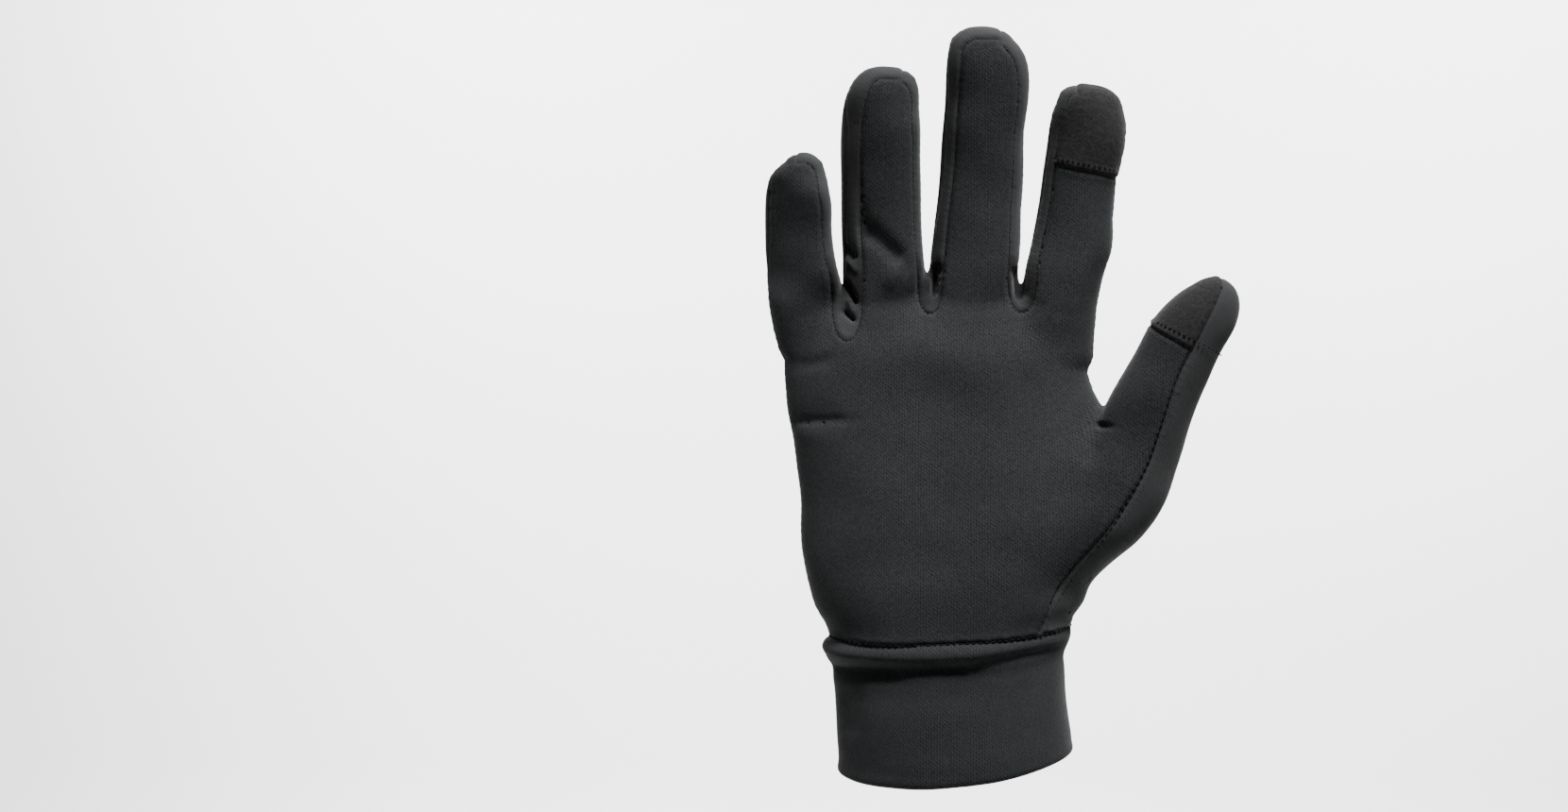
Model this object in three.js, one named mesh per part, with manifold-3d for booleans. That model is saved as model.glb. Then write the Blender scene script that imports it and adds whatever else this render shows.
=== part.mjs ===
// A right-hand glove liner of stretch knit, as it stands when worn: fingers up (+Z), palm to the front (-Y),
// thumb to the right (+X). The origin is the middle of the wrist opening. Lengths are millimetres.
// Each piece is cut from one hollow skin: lofted tubes for the palm, the fingers and the thumb, joined, less the
// same tubes one cloth thickness smaller.

import * as THREE from "three";
import { mergeVertices } from "three/addons/utils/BufferGeometryUtils.js";
import Module from "manifold-3d";

const wasm = await Module();
wasm.setup();

// Driving dimensions
const clothThickness = 1.4;
const feltThickness = 2.0;
const seamGap = 0.3;

const cuff = { height: 43, width: 75, depth: 48, thickness: 2.6, centreX: -1.2 };
// Each edge of the cuff rises to the thumb's side and sags in front and behind.
const mouthEdge = { slope: 0.11, sag: 2.7 };
const seamEdge = { slope: 0.05, sag: 2.5 };

const palm = { length: 112, width: 96, depth: 30 };
// Fingers: across is the root's place as a share of the palm's width, above its height over the palm's top. lean
// tilts the finger to the right and curl to the front, in degrees.
const little = { length: 41.6, width: 21.8, depth: 16, across: -0.497, above: -2, lean: 0.5, curl: 11 };
const ring = { length: 66.2, width: 24.2, depth: 18, across: -0.231, above: 0, lean: 1, curl: 9.5 };
const middle = { length: 77.8, width: 25.6, depth: 18.5, across: 0.065, above: 0, lean: 2.2, curl: 8.6 };
const index = { length: 58.6, width: 22.6, depth: 18, across: 0.371, above: 1, lean: 7, curl: 8 };
// The thumb's root lies at shares of the palm's width, depth and length.
const thumb = { length: 80.4, width: 24, depth: 22, lean: 27.6, curl: 9 };
const thumbRoot = { across: 0.476, forward: 0.167, up: 0.348 };

// How far the strips between the fingers reach below the roots.
const crotchDrop = { littleRing: 18.5, ringMiddle: 11.8, middleIndex: 11.2, backExtra: 4.5 };
const indexPatch = { length: 25.6, slope: -0.1 };
const thumbPatch = { length: 22, slope: 0 };

const fingerSides = 14;
const palmSides = 30;
const cuffSides = 28;
const crotchSteps = 6;
const partingColumns = 22;
const partingRows = 34;
// Powers of the rounded sections: 2 is an ellipse, more is squarer.
const handRoundness = 2.3;
const cuffRoundness = 2.2;
const crotchRoundness = 0.7;
// From this share of a finger's length upwards its outline turns over the tip.
const shoulder = 0.7;
const smallestHalf = 0.6;
// What a cutting shape reaches past the cloth, and what the two halves of a strip share.
const cutReach = 20;
const farAway = 60;
const stripOverlap = 0.1;
const degree = Math.PI / 180;

const knitColour = new THREE.Color(0x2a2c2d);
const feltColour = new THREE.Color(0x242424);

// Sections of the palm. up is a share of the palm's length, left and right of its width, front and back of its
// depth. fromCuff is how much of the section follows the top of the cuff instead.
const palmSections = [
  { up: 0.0, fromCuff: 1.0, left: -0.41, right: 0.37, front: 0.75, back: 0.73 },
  { up: 0.06, fromCuff: 0.5, left: -0.47, right: 0.44, front: 0.76, back: 0.64 },
  { up: 0.13, fromCuff: 0.2, left: -0.487, right: 0.453, front: 0.75, back: 0.635 },
  { up: 0.2, fromCuff: 0.0, left: -0.49, right: 0.49, front: 0.72, back: 0.62 },
  { up: 0.28, fromCuff: 0.0, left: -0.5, right: 0.52, front: 0.69, back: 0.59 },
  { up: 0.37, fromCuff: 0.0, left: -0.5, right: 0.56, front: 0.65, back: 0.56 },
  { up: 0.46, fromCuff: 0.0, left: -0.515, right: 0.57, front: 0.61, back: 0.54 },
  { up: 0.55, fromCuff: 0.0, left: -0.53, right: 0.54, front: 0.56, back: 0.52 },
  { up: 0.62, fromCuff: 0.0, left: -0.545, right: 0.49, front: 0.52, back: 0.5 },
  { up: 0.7, fromCuff: 0.0, left: -0.555, right: 0.44, front: 0.48, back: 0.49 },
  { up: 0.78, fromCuff: 0.0, left: -0.565, right: 0.435, front: 0.45, back: 0.49 },
  { up: 0.86, fromCuff: 0.0, left: -0.58, right: 0.44, front: 0.4, back: 0.45 },
  { up: 0.93, fromCuff: 0.0, left: -0.59, right: 0.45, front: 0.31, back: 0.36 },
  { up: 0.975, fromCuff: 0.0, left: -0.56, right: 0.44, front: 0.18, back: 0.22 },
  { up: 1.0, fromCuff: 0.0, left: -0.52, right: 0.4, front: 0.03, back: 0.1 },
];
// Up to this share of its length the palm's sections are bent like the cuff seam.
const bentShare = 0.2;

// Broad rises and hollows of the palm's front. across and wide are shares of the palm's width, up and tall of its
// length, forward of its depth.
const palmForms = [
  { name: "ball of the thumb", across: 0.3, up: 0.3, wide: 0.17, tall: 0.2, forward: 0.1 },
  { name: "heel below the little finger", across: -0.28, up: 0.3, wide: 0.16, tall: 0.26, forward: 0.06 },
  { name: "hollow of the palm", across: -0.02, up: 0.5, wide: 0.15, tall: 0.24, forward: -0.08 },
  { name: "pads below the fingers", across: -0.05, up: 0.78, wide: 0.35, tall: 0.08, forward: 0.04 },
];

// Sections of the fingers and thumb. along is a share of the length from the root, wide and aside of the width,
// deep and forward of the depth. aside bends the middle line to the right, forward to the palm side.
const middleSections = [
  { along: -0.42, aside: -0.03, forward: 0.1, wide: 0.9, deep: 0.9 },
  { along: -0.2, aside: -0.02, forward: 0.05, wide: 1.0, deep: 1.08 },
  { along: 0.0, aside: 0.0, forward: 0.0, wide: 1.04, deep: 1.1 },
  { along: 0.22, aside: 0.02, forward: -0.08, wide: 1.01, deep: 1.02 },
  { along: 0.42, aside: 0.05, forward: -0.11, wide: 0.97, deep: 0.98 },
  { along: 0.6, aside: 0.06, forward: -0.1, wide: 0.96, deep: 0.95 },
  { along: 0.74, aside: 0.08, forward: -0.07, wide: 0.97, deep: 0.9 },
  { along: 0.84, aside: 0.08, forward: -0.03, wide: 0.94, deep: 0.83 },
  { along: 0.91, aside: 0.06, forward: 0.0, wide: 0.85, deep: 0.72 },
  { along: 0.96, aside: 0.02, forward: 0.02, wide: 0.68, deep: 0.54 },
  { along: 1.0, aside: 0.0, forward: 0.03, wide: 0.3, deep: 0.2 },
];
const ringSections = [
  { along: -0.45, aside: 0.02, forward: 0.1, wide: 0.9, deep: 0.9 },
  { along: -0.2, aside: 0.0, forward: 0.05, wide: 0.98, deep: 1.08 },
  { along: 0.0, aside: 0.0, forward: 0.0, wide: 1.02, deep: 1.1 },
  { along: 0.25, aside: -0.04, forward: -0.08, wide: 1.02, deep: 1.02 },
  { along: 0.5, aside: -0.05, forward: -0.1, wide: 0.99, deep: 0.97 },
  { along: 0.7, aside: -0.05, forward: -0.08, wide: 0.97, deep: 0.92 },
  { along: 0.82, aside: -0.05, forward: -0.04, wide: 0.93, deep: 0.85 },
  { along: 0.9, aside: -0.03, forward: 0.0, wide: 0.86, deep: 0.74 },
  { along: 0.96, aside: -0.01, forward: 0.02, wide: 0.68, deep: 0.54 },
  { along: 1.0, aside: 0.02, forward: 0.03, wide: 0.32, deep: 0.2 },
];
const littleSections = [
  { along: -0.6, aside: 0.16, forward: 0.12, wide: 0.8, deep: 0.9 },
  { along: -0.25, aside: 0.03, forward: 0.05, wide: 0.98, deep: 1.1 },
  { along: 0.0, aside: 0.0, forward: 0.0, wide: 1.04, deep: 1.12 },
  { along: 0.25, aside: -0.07, forward: -0.06, wide: 1.0, deep: 1.04 },
  { along: 0.45, aside: -0.09, forward: -0.08, wide: 0.97, deep: 0.98 },
  { along: 0.62, aside: -0.09, forward: -0.06, wide: 0.94, deep: 0.92 },
  { along: 0.74, aside: -0.09, forward: -0.03, wide: 0.86, deep: 0.85 },
  { along: 0.85, aside: -0.06, forward: 0.0, wide: 0.71, deep: 0.72 },
  { along: 0.94, aside: 0.0, forward: 0.02, wide: 0.46, deep: 0.5 },
  { along: 1.0, aside: 0.03, forward: 0.03, wide: 0.18, deep: 0.18 },
];
const indexSections = [
  { along: -0.5, aside: 0.04, forward: 0.1, wide: 0.9, deep: 0.95 },
  { along: -0.22, aside: -0.04, forward: 0.05, wide: 0.94, deep: 1.1 },
  { along: 0.0, aside: -0.03, forward: 0.0, wide: 1.02, deep: 1.1 },
  { along: 0.15, aside: 0.01, forward: -0.05, wide: 1.04, deep: 1.04 },
  { along: 0.35, aside: 0.02, forward: -0.09, wide: 0.98, deep: 0.98 },
  { along: 0.55, aside: 0.01, forward: -0.1, wide: 0.96, deep: 0.95 },
  { along: 0.72, aside: 0.0, forward: -0.06, wide: 0.97, deep: 0.91 },
  { along: 0.84, aside: 0.0, forward: -0.03, wide: 0.93, deep: 0.83 },
  { along: 0.92, aside: -0.02, forward: 0.0, wide: 0.8, deep: 0.68 },
  { along: 0.97, aside: -0.04, forward: 0.02, wide: 0.62, deep: 0.48 },
  { along: 1.0, aside: -0.04, forward: 0.03, wide: 0.3, deep: 0.2 },
];
const thumbSections = [
  { along: -0.42, aside: -0.45, forward: 0.0, wide: 0.8, deep: 0.8 },
  { along: -0.2, aside: -0.14, forward: 0.1, wide: 1.14, deep: 1.15 },
  { along: -0.02, aside: 0.06, forward: 0.1, wide: 1.22, deep: 1.22 },
  { along: 0.14, aside: 0.1, forward: 0.05, wide: 1.18, deep: 1.14 },
  { along: 0.3, aside: 0.05, forward: 0.0, wide: 1.1, deep: 1.06 },
  { along: 0.46, aside: 0.0, forward: 0.0, wide: 1.0, deep: 1.0 },
  { along: 0.62, aside: -0.03, forward: 0.0, wide: 0.95, deep: 0.93 },
  { along: 0.76, aside: -0.03, forward: 0.0, wide: 0.91, deep: 0.86 },
  { along: 0.87, aside: 0.0, forward: 0.01, wide: 0.8, deep: 0.74 },
  { along: 0.94, aside: 0.03, forward: 0.02, wide: 0.61, deep: 0.56 },
  { along: 1.0, aside: 0.05, forward: 0.03, wide: 0.3, deep: 0.2 },
];

// Sections of the cuff: up is a share of its height, wide of its width, deep of its depth, aside moves it sideways
// by a share of its width. The fold is the rounded edge round the wrist, the roll bulges under the seam.
const cuffSections = [
  { up: 0.0, aside: 0.017, wide: 0.955, deep: 0.97 },
  { up: 0.03, aside: 0.017, wide: 0.98, deep: 1.01 },
  { up: 0.12, aside: 0.018, wide: 0.976, deep: 1.03 },
  { up: 0.3, aside: 0.01, wide: 0.97, deep: 1.02 },
  { up: 0.5, aside: 0.0, wide: 0.968, deep: 1.0 },
  { up: 0.68, aside: -0.008, wide: 0.975, deep: 0.955 },
  { up: 0.78, aside: -0.014, wide: 0.98, deep: 0.955 },
  { up: 0.88, aside: -0.008, wide: 1.02, deep: 1.0 },
  { up: 0.95, aside: -0.008, wide: 1.02, deep: 1.0 },
  { up: 1.0, aside: 0.0, wide: 0.995, deep: 0.95 },
];

// The outer seam of the thumb on the palm side: along is a share of the thumb's length, aside of its width, deep
// how far in front of the thumb's middle line the cloth lies there, as a share of its depth.
const thumbSeam = [
  { along: -0.5, aside: 0.09, deep: 1.05 },
  { along: -0.38, aside: 0.06, deep: 1.0 },
  { along: -0.25, aside: 0.1, deep: 0.95 },
  { along: -0.08, aside: 0.2, deep: 0.82 },
  { along: 0.07, aside: 0.235, deep: 0.68 },
  { along: 0.25, aside: 0.235, deep: 0.55 },
  { along: 0.38, aside: 0.165, deep: 0.46 },
  { along: 0.56, aside: 0.05, deep: 0.4 },
  { along: 0.65, aside: 0.02, deep: 0.36 },
  { along: 0.8, aside: 0.005, deep: 0.3 },
  { along: 1.0, aside: 0.02, deep: 0.22 },
];
// From the outer seam the parting surface drops steeply inside the thumb, then turns towards the inner seam.
// It joins the hand's middle plane between hand and thumb. Lengths are shares of the thumb's width.
const thumbParting = { turn: 0.17, steep: 3, shallow: 1.2, inner: 0.5, hand: -0.8, thumb: -0.5 };

// How far each finger's seam lies inside its outline, as shares of its width, on the palm and on the back. tip is
// the height of the strip over the fingertip, as a share of the width. meet is where two strips meet there,
// as a share of the half width.
const seamInsets = {
  little: { palmRight: 0.1, backRight: 0.12, tip: 0.14, meet: -0.2 },
  ring: { palmLeft: 0.26, palmRight: 0.06, backLeft: 0.08, backRight: 0.12, tip: 0.17, meet: 0.45 },
  middle: { palmLeft: 0.15, palmRight: 0.1, backLeft: 0.08, backRight: 0.12, tip: 0.15, meet: 0.45 },
  index: { palmLeft: 0.12, backLeft: 0.1, tip: 0.1, meet: -0.35 },
};

function rootOf(finger) {
  if (finger === thumb) {
    return new THREE.Vector3(
      thumbRoot.across * palm.width,
      -thumbRoot.forward * palm.depth,
      cuff.height + thumbRoot.up * palm.length,
    );
  }
  return new THREE.Vector3(finger.across * palm.width, 0, cuff.height + palm.length + finger.above);
}

function frameOf(finger) {
  const lean = finger.lean * degree;
  const curl = finger.curl * degree;
  const up = new THREE.Vector3(
    Math.sin(lean) * Math.cos(curl), -Math.sin(curl), Math.cos(lean) * Math.cos(curl),
  );
  const side = new THREE.Vector3(Math.cos(lean), 0, -Math.sin(lean));
  const front = new THREE.Vector3().crossVectors(up, side).negate();
  return { root: rootOf(finger), up, side, front };
}

function roundness(angle, power) {
  const cosine = Math.cos(angle);
  const sine = Math.sin(angle);
  return [
    Math.sign(cosine) * Math.abs(cosine) ** (2 / power),
    Math.sign(sine) * Math.abs(sine) ** (2 / power),
  ];
}

// A closed tube through rings of points, all with the same number of points, counter-clockwise seen from above.
function loft(rings) {
  const sides = rings[0].length;
  const positions = rings.flat().flatMap((point) => point.toArray());
  const faces = [];
  for (let row = 0; row + 1 < rings.length; row += 1) {
    for (let k = 0; k < sides; k += 1) {
      const a = row * sides + k;
      const b = row * sides + ((k + 1) % sides);
      faces.push(a, b, b + sides, a, b + sides, a + sides);
    }
  }
  const bottom = rings.length * sides;
  const top = bottom + 1;
  for (const ringPoints of [rings[0], rings[rings.length - 1]]) {
    const centre = new THREE.Vector3();
    ringPoints.forEach((point) => centre.addScaledVector(point, 1 / sides));
    positions.push(...centre.toArray());
  }
  const last = (rings.length - 1) * sides;
  for (let k = 0; k < sides; k += 1) {
    const next = (k + 1) % sides;
    faces.push(bottom, next, k, top, last + k, last + next);
  }
  return solidFrom(positions, faces);
}

function solidFrom(positions, faces) {
  return new wasm.Manifold(new wasm.Mesh({
    numProp: 3,
    vertProperties: new Float32Array(positions),
    triVerts: new Uint32Array(faces),
  }));
}

function fromGeometry(geometry) {
  geometry.deleteAttribute("normal");
  geometry.deleteAttribute("uv");
  const merged = mergeVertices(geometry, 1e-4);
  return solidFrom(Array.from(merged.attributes.position.array), Array.from(merged.index.array));
}

// A finger's tube, made smaller all round by inset.
function fingerTube(finger, sections, inset) {
  const frame = frameOf(finger);
  const shorten = (finger.length - inset) / finger.length;
  return loft(sections.map((section) => {
    const along = section.along > 0 ? section.along * shorten : section.along;
    const halfWidth = Math.max((section.wide * finger.width) / 2 - inset, smallestHalf);
    const halfDepth = Math.max((section.deep * finger.depth) / 2 - inset, smallestHalf);
    const points = [];
    for (let k = 0; k < fingerSides; k += 1) {
      const [across, deep] = roundness((2 * Math.PI * k) / fingerSides, handRoundness);
      points.push(frame.root.clone()
        .addScaledVector(frame.up, along * finger.length)
        .addScaledVector(frame.side, section.aside * finger.width + across * halfWidth)
        .addScaledVector(frame.front, section.forward * finger.depth - deep * halfDepth));
    }
    return points;
  }));
}

function edgeHeight(edge, level, x, y) {
  return level + edge.slope * x - edge.sag * ((2 * y) / cuff.depth) ** 2;
}

// Where the cuff's section reaches at its left, right and front.
function cuffReach(section) {
  const centre = cuff.centreX + section.aside * cuff.width;
  const halfWidth = (section.wide * cuff.width) / 2;
  return { left: centre - halfWidth, right: centre + halfWidth, front: (section.deep * cuff.depth) / 2 };
}

// How far the front of the palm stands out at a point, from the table of its forms.
function frontForm(x, up) {
  return palmForms.reduce((sum, form) => {
    const sideways = (x / palm.width - form.across) / form.wide;
    const upwards = (up - form.up) / form.tall;
    return sum + form.forward * palm.depth * Math.exp(-(sideways ** 2) - upwards ** 2);
  }, 0);
}

// The palm's tube. below carries its lower end down past the cuff seam, which opens it there.
function palmTube(inset, below) {
  const cuffTop = cuffReach(cuffSections[cuffSections.length - 1]);
  return loft(palmSections.map((section, row) => {
    const toCuff = (own, cuffs) => THREE.MathUtils.lerp(own, cuffs, section.fromCuff);
    const left = toCuff(section.left * palm.width, cuffTop.left) + inset;
    const right = toCuff(section.right * palm.width, cuffTop.right) - inset;
    const front = Math.max(toCuff(section.front * palm.depth, cuffTop.front) - inset, smallestHalf);
    const back = Math.max(toCuff(section.back * palm.depth, cuffTop.front) - inset, smallestHalf);
    const rise = section.up * palm.length;
    const straight = Math.min(section.up / bentShare, 1);
    const drop = row === 0 ? below : Math.min(inset, rise);
    const points = [];
    for (let k = 0; k < palmSides; k += 1) {
      const [across, deep] = roundness((2 * Math.PI * k) / palmSides, handRoundness);
      const x = THREE.MathUtils.lerp(left, right, (1 + across) / 2);
      const y = deep < 0 ? deep * (front + frontForm(x, section.up)) : deep * back;
      const bent = edgeHeight(seamEdge, cuff.height, x, y) + seamGap / 2;
      points.push(new THREE.Vector3(x, y, THREE.MathUtils.lerp(bent, cuff.height, straight) + rise - drop));
    }
    return points;
  }));
}

// The cuff's tube, made smaller all round by inset and longer at both ends by spill.
function cuffTube(inset, spill) {
  return loft(cuffSections.map((section, row) => {
    const { left, right, front } = cuffReach(section);
    const isLast = row === cuffSections.length - 1;
    const end = (isLast ? spill : 0) - (row === 0 ? spill : 0);
    const points = [];
    for (let k = 0; k < cuffSides; k += 1) {
      const [across, deep] = roundness((2 * Math.PI * k) / cuffSides, cuffRoundness);
      const x = THREE.MathUtils.lerp(left + inset, right - inset, (1 + across) / 2);
      const y = deep * (front - inset);
      const low = edgeHeight(mouthEdge, 0, x, y);
      const high = edgeHeight(seamEdge, cuff.height, x, y) - seamGap / 2;
      points.push(new THREE.Vector3(x, y, THREE.MathUtils.lerp(low, high, section.up) + end));
    }
    return points;
  }));
}

// A prism along Y over an outline of [x, z] points.
function prism(outline, yFrom, yTo) {
  const shape = new THREE.Shape(outline.map(([x, z]) => new THREE.Vector2(x, z)));
  const geometry = new THREE.ExtrudeGeometry(shape, { depth: yTo - yFrom, bevelEnabled: false, steps: 1 });
  geometry.rotateX(Math.PI / 2);
  geometry.translate(0, yTo, 0);
  return fromGeometry(geometry);
}

function between(points, key, value, column) {
  const last = points.length - 1;
  if (value <= points[0][key]) return points[0][column];
  if (value >= points[last][key]) return points[last][column];
  const row = points.findIndex((point) => point[key] > value);
  const [low, high] = [points[row - 1], points[row]];
  const share = (value - low[key]) / (high[key] - low[key]);
  return low[column] + share * (high[column] - low[column]);
}

// The middle plane of a finger at a height: where its side seam runs.
function middleLine(finger, z) {
  const root = rootOf(finger);
  return root.y - Math.max(z - root.z, 0) * Math.tan(finger.curl * degree);
}

// The surface y(x, z) that parts the palm side from the back. It follows the fingers' middle planes and turns
// round the thumb, so that the thumb's outer seam shows from the palm and its inner seam from the back.
function partingSurface(x, z) {
  const fromLittle = (x - rootOf(little).x) / (rootOf(index).x - rootOf(little).x);
  const share = THREE.MathUtils.clamp(fromLittle, 0, 1);
  const hand = THREE.MathUtils.lerp(middleLine(little, z), middleLine(index, z), share);
  const lean = thumb.lean * degree;
  const root = rootOf(thumb);
  const along = ((x - root.x) * Math.sin(lean) + (z - root.z) * Math.cos(lean)) / thumb.length;
  const across = ((x - root.x) * Math.cos(lean) - (z - root.z) * Math.sin(lean)) / thumb.width;
  const middleY = root.y - along * thumb.length * Math.sin(thumb.curl * degree);
  const seamY = middleY - between(thumbSeam, "along", along, "deep") * thumb.depth;
  const inward = between(thumbSeam, "along", along, "aside") - across;
  const steep = Math.min(inward, thumbParting.turn) * thumbParting.steep;
  const shallow = Math.max(inward - thumbParting.turn, 0) * thumbParting.shallow;
  const round = seamY + (steep + shallow) * thumb.width;
  const blend = THREE.MathUtils.smoothstep(across, thumbParting.hand, thumbParting.thumb);
  const inner = middleY + thumbParting.inner * thumb.depth;
  const ceiling = THREE.MathUtils.lerp(hand, inner, blend);
  return Math.max(Math.min(round, ceiling), -farAway);
}

// Everything behind (direction 1) or in front of (direction -1) the parting surface, kept clear of it by gap.
function halfSpace(direction, gap) {
  const low = { x: rootOf(little).x - cutReach, z: -cutReach };
  const high = {
    x: rootOf(thumb).x + thumb.length,
    z: rootOf(middle).z + middle.length + cutReach,
  };
  const positions = [];
  const faces = [];
  const rowLength = partingColumns + 1;
  for (const layer of [0, 1]) {
    for (let j = 0; j <= partingRows; j += 1) {
      for (let i = 0; i <= partingColumns; i += 1) {
        const x = THREE.MathUtils.lerp(low.x, high.x, i / partingColumns);
        const z = THREE.MathUtils.lerp(low.z, high.z, j / partingRows);
        const y = layer === 0 ? partingSurface(x, z) + direction * gap : direction * (farAway + cutReach);
        positions.push(x, y, z);
      }
    }
  }
  const layerSize = rowLength * (partingRows + 1);
  const quad = (a, b, c, d) => {
    if (direction > 0) faces.push(a, b, c, a, c, d);
    else faces.push(a, c, b, a, d, c);
  };
  for (let j = 0; j < partingRows; j += 1) {
    for (let i = 0; i < partingColumns; i += 1) {
      const a = j * rowLength + i;
      quad(a, a + 1, a + 1 + rowLength, a + rowLength);
      quad(a + layerSize, a + layerSize + rowLength, a + layerSize + rowLength + 1, a + layerSize + 1);
    }
  }
  for (let i = 0; i < partingColumns; i += 1) {
    const top = partingRows * rowLength + i;
    quad(i, i + layerSize, i + 1 + layerSize, i + 1);
    quad(top, top + 1, top + 1 + layerSize, top + layerSize);
  }
  for (let j = 0; j < partingRows; j += 1) {
    const near = j * rowLength;
    const far = near + partingColumns;
    quad(near, near + rowLength, near + rowLength + layerSize, near + layerSize);
    quad(far, far + layerSize, far + rowLength + layerSize, far + rowLength);
  }
  return solidFrom(positions, faces);
}

// Points up one side of a finger's panel in the front view, from its root to where the strips meet over the tip.
// direction is 1 on the finger's right side and -1 on its left.
function panelSide(piece, direction, inset, grow) {
  const { finger, sections, insets } = piece;
  const frame = frameOf(finger);
  const shorten = (finger.length - insets.tip * finger.width - grow) / finger.length;
  const isBeside = ({ along, aside, wide }) => along >= 0
    && (along < shoulder || direction * (aside - insets.meet / 2) + wide / 2 - inset > 0);
  return sections.filter(isBeside).map((section) => {
    const half = Math.max((section.wide / 2 - inset) * finger.width - grow, 0);
    const point = frame.root.clone()
      .addScaledVector(frame.up, section.along * shorten * finger.length)
      .addScaledVector(frame.side, section.aside * finger.width + direction * half);
    return [point.x, point.z];
  });
}

// The outline of the strip between two neighbouring fingers: up the left finger's right side to where the strips
// meet over its tip, across above both, and down the right finger's left side to the crotch.
function stripOutline(left, right, side, drop, grow) {
  const leftInset = left.insets[`${side}Right`];
  const rightInset = right.insets[`${side}Left`];
  const inner = panelSide(left, 1, leftInset, grow);
  const outer = panelSide(right, -1, rightInset, grow).reverse();
  const meetLeft = meetingPoint(left, -grow);
  const meetRight = meetingPoint(right, grow);
  const top = Math.max(meetLeft[1], meetRight[1]) + cutReach;
  const leftRoot = inner[0];
  const rightRoot = outer[outer.length - 1];
  const bottom = Math.min(leftRoot[1], rightRoot[1]) - drop - grow;
  const crotch = [];
  for (let k = 1; k < crotchSteps; k += 1) {
    const angle = (Math.PI * k) / crotchSteps;
    const share = (1 - Math.cos(angle)) / 2;
    const level = rightRoot[1] + (leftRoot[1] - rightRoot[1]) * share;
    crotch.push([
      rightRoot[0] + (leftRoot[0] - rightRoot[0]) * share,
      level + (bottom - level) * Math.sin(angle) ** crotchRoundness,
    ]);
  }
  return [
    ...inner, [meetLeft[0], inner[inner.length - 1][1]], [meetLeft[0], top], [meetRight[0], top],
    [meetRight[0], outer[0][1]], ...outer, ...crotch,
  ];
}

function meetingPoint(piece, shift) {
  const frame = frameOf(piece.finger);
  const half = (piece.insets.meet * piece.finger.width) / 2;
  const point = frame.root.clone()
    .addScaledVector(frame.up, piece.finger.length)
    .addScaledVector(frame.side, half);
  return [point.x + shift, point.z];
}

const hand = {
  little: { finger: little, sections: littleSections, insets: seamInsets.little },
  ring: { finger: ring, sections: ringSections, insets: seamInsets.ring },
  middle: { finger: middle, sections: middleSections, insets: seamInsets.middle },
  index: { finger: index, sections: indexSections, insets: seamInsets.index },
};

function gloveForm(inset, below) {
  let form = palmTube(inset, below);
  for (const { finger, sections } of Object.values(hand)) {
    form = form.add(fingerTube(finger, sections, inset));
  }
  return form.add(fingerTube(thumb, thumbSections, inset));
}

const outside = gloveForm(0, 0);
const inside = gloveForm(clothThickness, cutReach);
const skin = outside.subtract(inside);

const palmSpace = halfSpace(-1, seamGap / 2);
const backSpace = halfSpace(1, seamGap / 2);
const palmReach = halfSpace(-1, -stripOverlap);
const backReach = halfSpace(1, -stripOverlap);

function stripSpace(left, right, drop, grow) {
  const palmPrism = prism(stripOutline(left, right, "palm", drop, grow), -farAway, farAway);
  const backPrism = prism(stripOutline(left, right, "back", drop + crotchDrop.backExtra, grow), -farAway, farAway);
  return palmPrism.intersect(palmReach).add(backPrism.intersect(backReach));
}

const strips = {
  fourchette_little_ring: [hand.little, hand.ring, crotchDrop.littleRing],
  fourchette_ring_middle: [hand.ring, hand.middle, crotchDrop.ringMiddle],
  fourchette_middle_index: [hand.middle, hand.index, crotchDrop.middleIndex],
};

// The felted patches cover the palm side of the tips of index finger and thumb.
function patchSpace(finger, patch, shift) {
  const frame = frameOf(finger);
  const corners = [[-1, 0], [1, 0], [1, 1], [-1, 1]];
  return prism(corners.map(([side, end]) => {
    const across = side * finger.width;
    const lowerEdge = finger.length - patch.length + patch.slope * across + shift;
    const along = end === 0 ? lowerEdge : finger.length + cutReach;
    const point = frame.root.clone().addScaledVector(frame.up, along).addScaledVector(frame.side, across);
    return [point.x, point.z];
  }), -farAway, farAway);
}

let palmPanel = skin.intersect(palmSpace)
  .subtract(patchSpace(index, indexPatch, -seamGap))
  .subtract(patchSpace(thumb, thumbPatch, -seamGap));
let backPanel = skin.intersect(backSpace);
const pieces = {};
for (const [name, [left, right, drop]] of Object.entries(strips)) {
  const wide = stripSpace(left, right, drop, seamGap);
  palmPanel = palmPanel.subtract(wide);
  backPanel = backPanel.subtract(wide);
  pieces[name] = skin.intersect(stripSpace(left, right, drop, 0));
}
pieces.palm_panel = palmPanel;
pieces.back_panel = backPanel;
pieces.cuff = cuffTube(0, 0).subtract(cuffTube(cuff.thickness, cutReach));

// A patch's wall: as deep inside as the skin, and proud of it outside by the thicker felt.
function feltWall(finger, sections) {
  return fingerTube(finger, sections, clothThickness - feltThickness)
    .subtract(fingerTube(finger, sections, clothThickness));
}

pieces.index_touch_tip = feltWall(index, indexSections)
  .intersect(patchSpace(index, indexPatch, 0))
  .intersect(palmSpace)
  .subtract(stripSpace(hand.middle, hand.index, crotchDrop.middleIndex, seamGap));
pieces.thumb_touch_tip = feltWall(thumb, thumbSections)
  .intersect(patchSpace(thumb, thumbPatch, 0))
  .intersect(palmSpace);

// Slivers that a cut leaves beside a piece are dropped.
function largestBody(solid) {
  return solid.decompose().reduce((best, body) => (body.volume() > best.volume() ? body : best));
}

function toMesh(name, solid, colour) {
  const { vertProperties, triVerts } = largestBody(solid).getMesh();
  const geometry = new THREE.BufferGeometry();
  geometry.setAttribute("position", new THREE.BufferAttribute(new Float32Array(vertProperties), 3));
  geometry.setIndex(new THREE.BufferAttribute(new Uint32Array(triVerts), 1));
  const material = new THREE.MeshStandardMaterial({ color: colour, roughness: 0.95, metalness: 0 });
  const mesh = new THREE.Mesh(geometry, material);
  mesh.name = name;
  return mesh;
}

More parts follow.
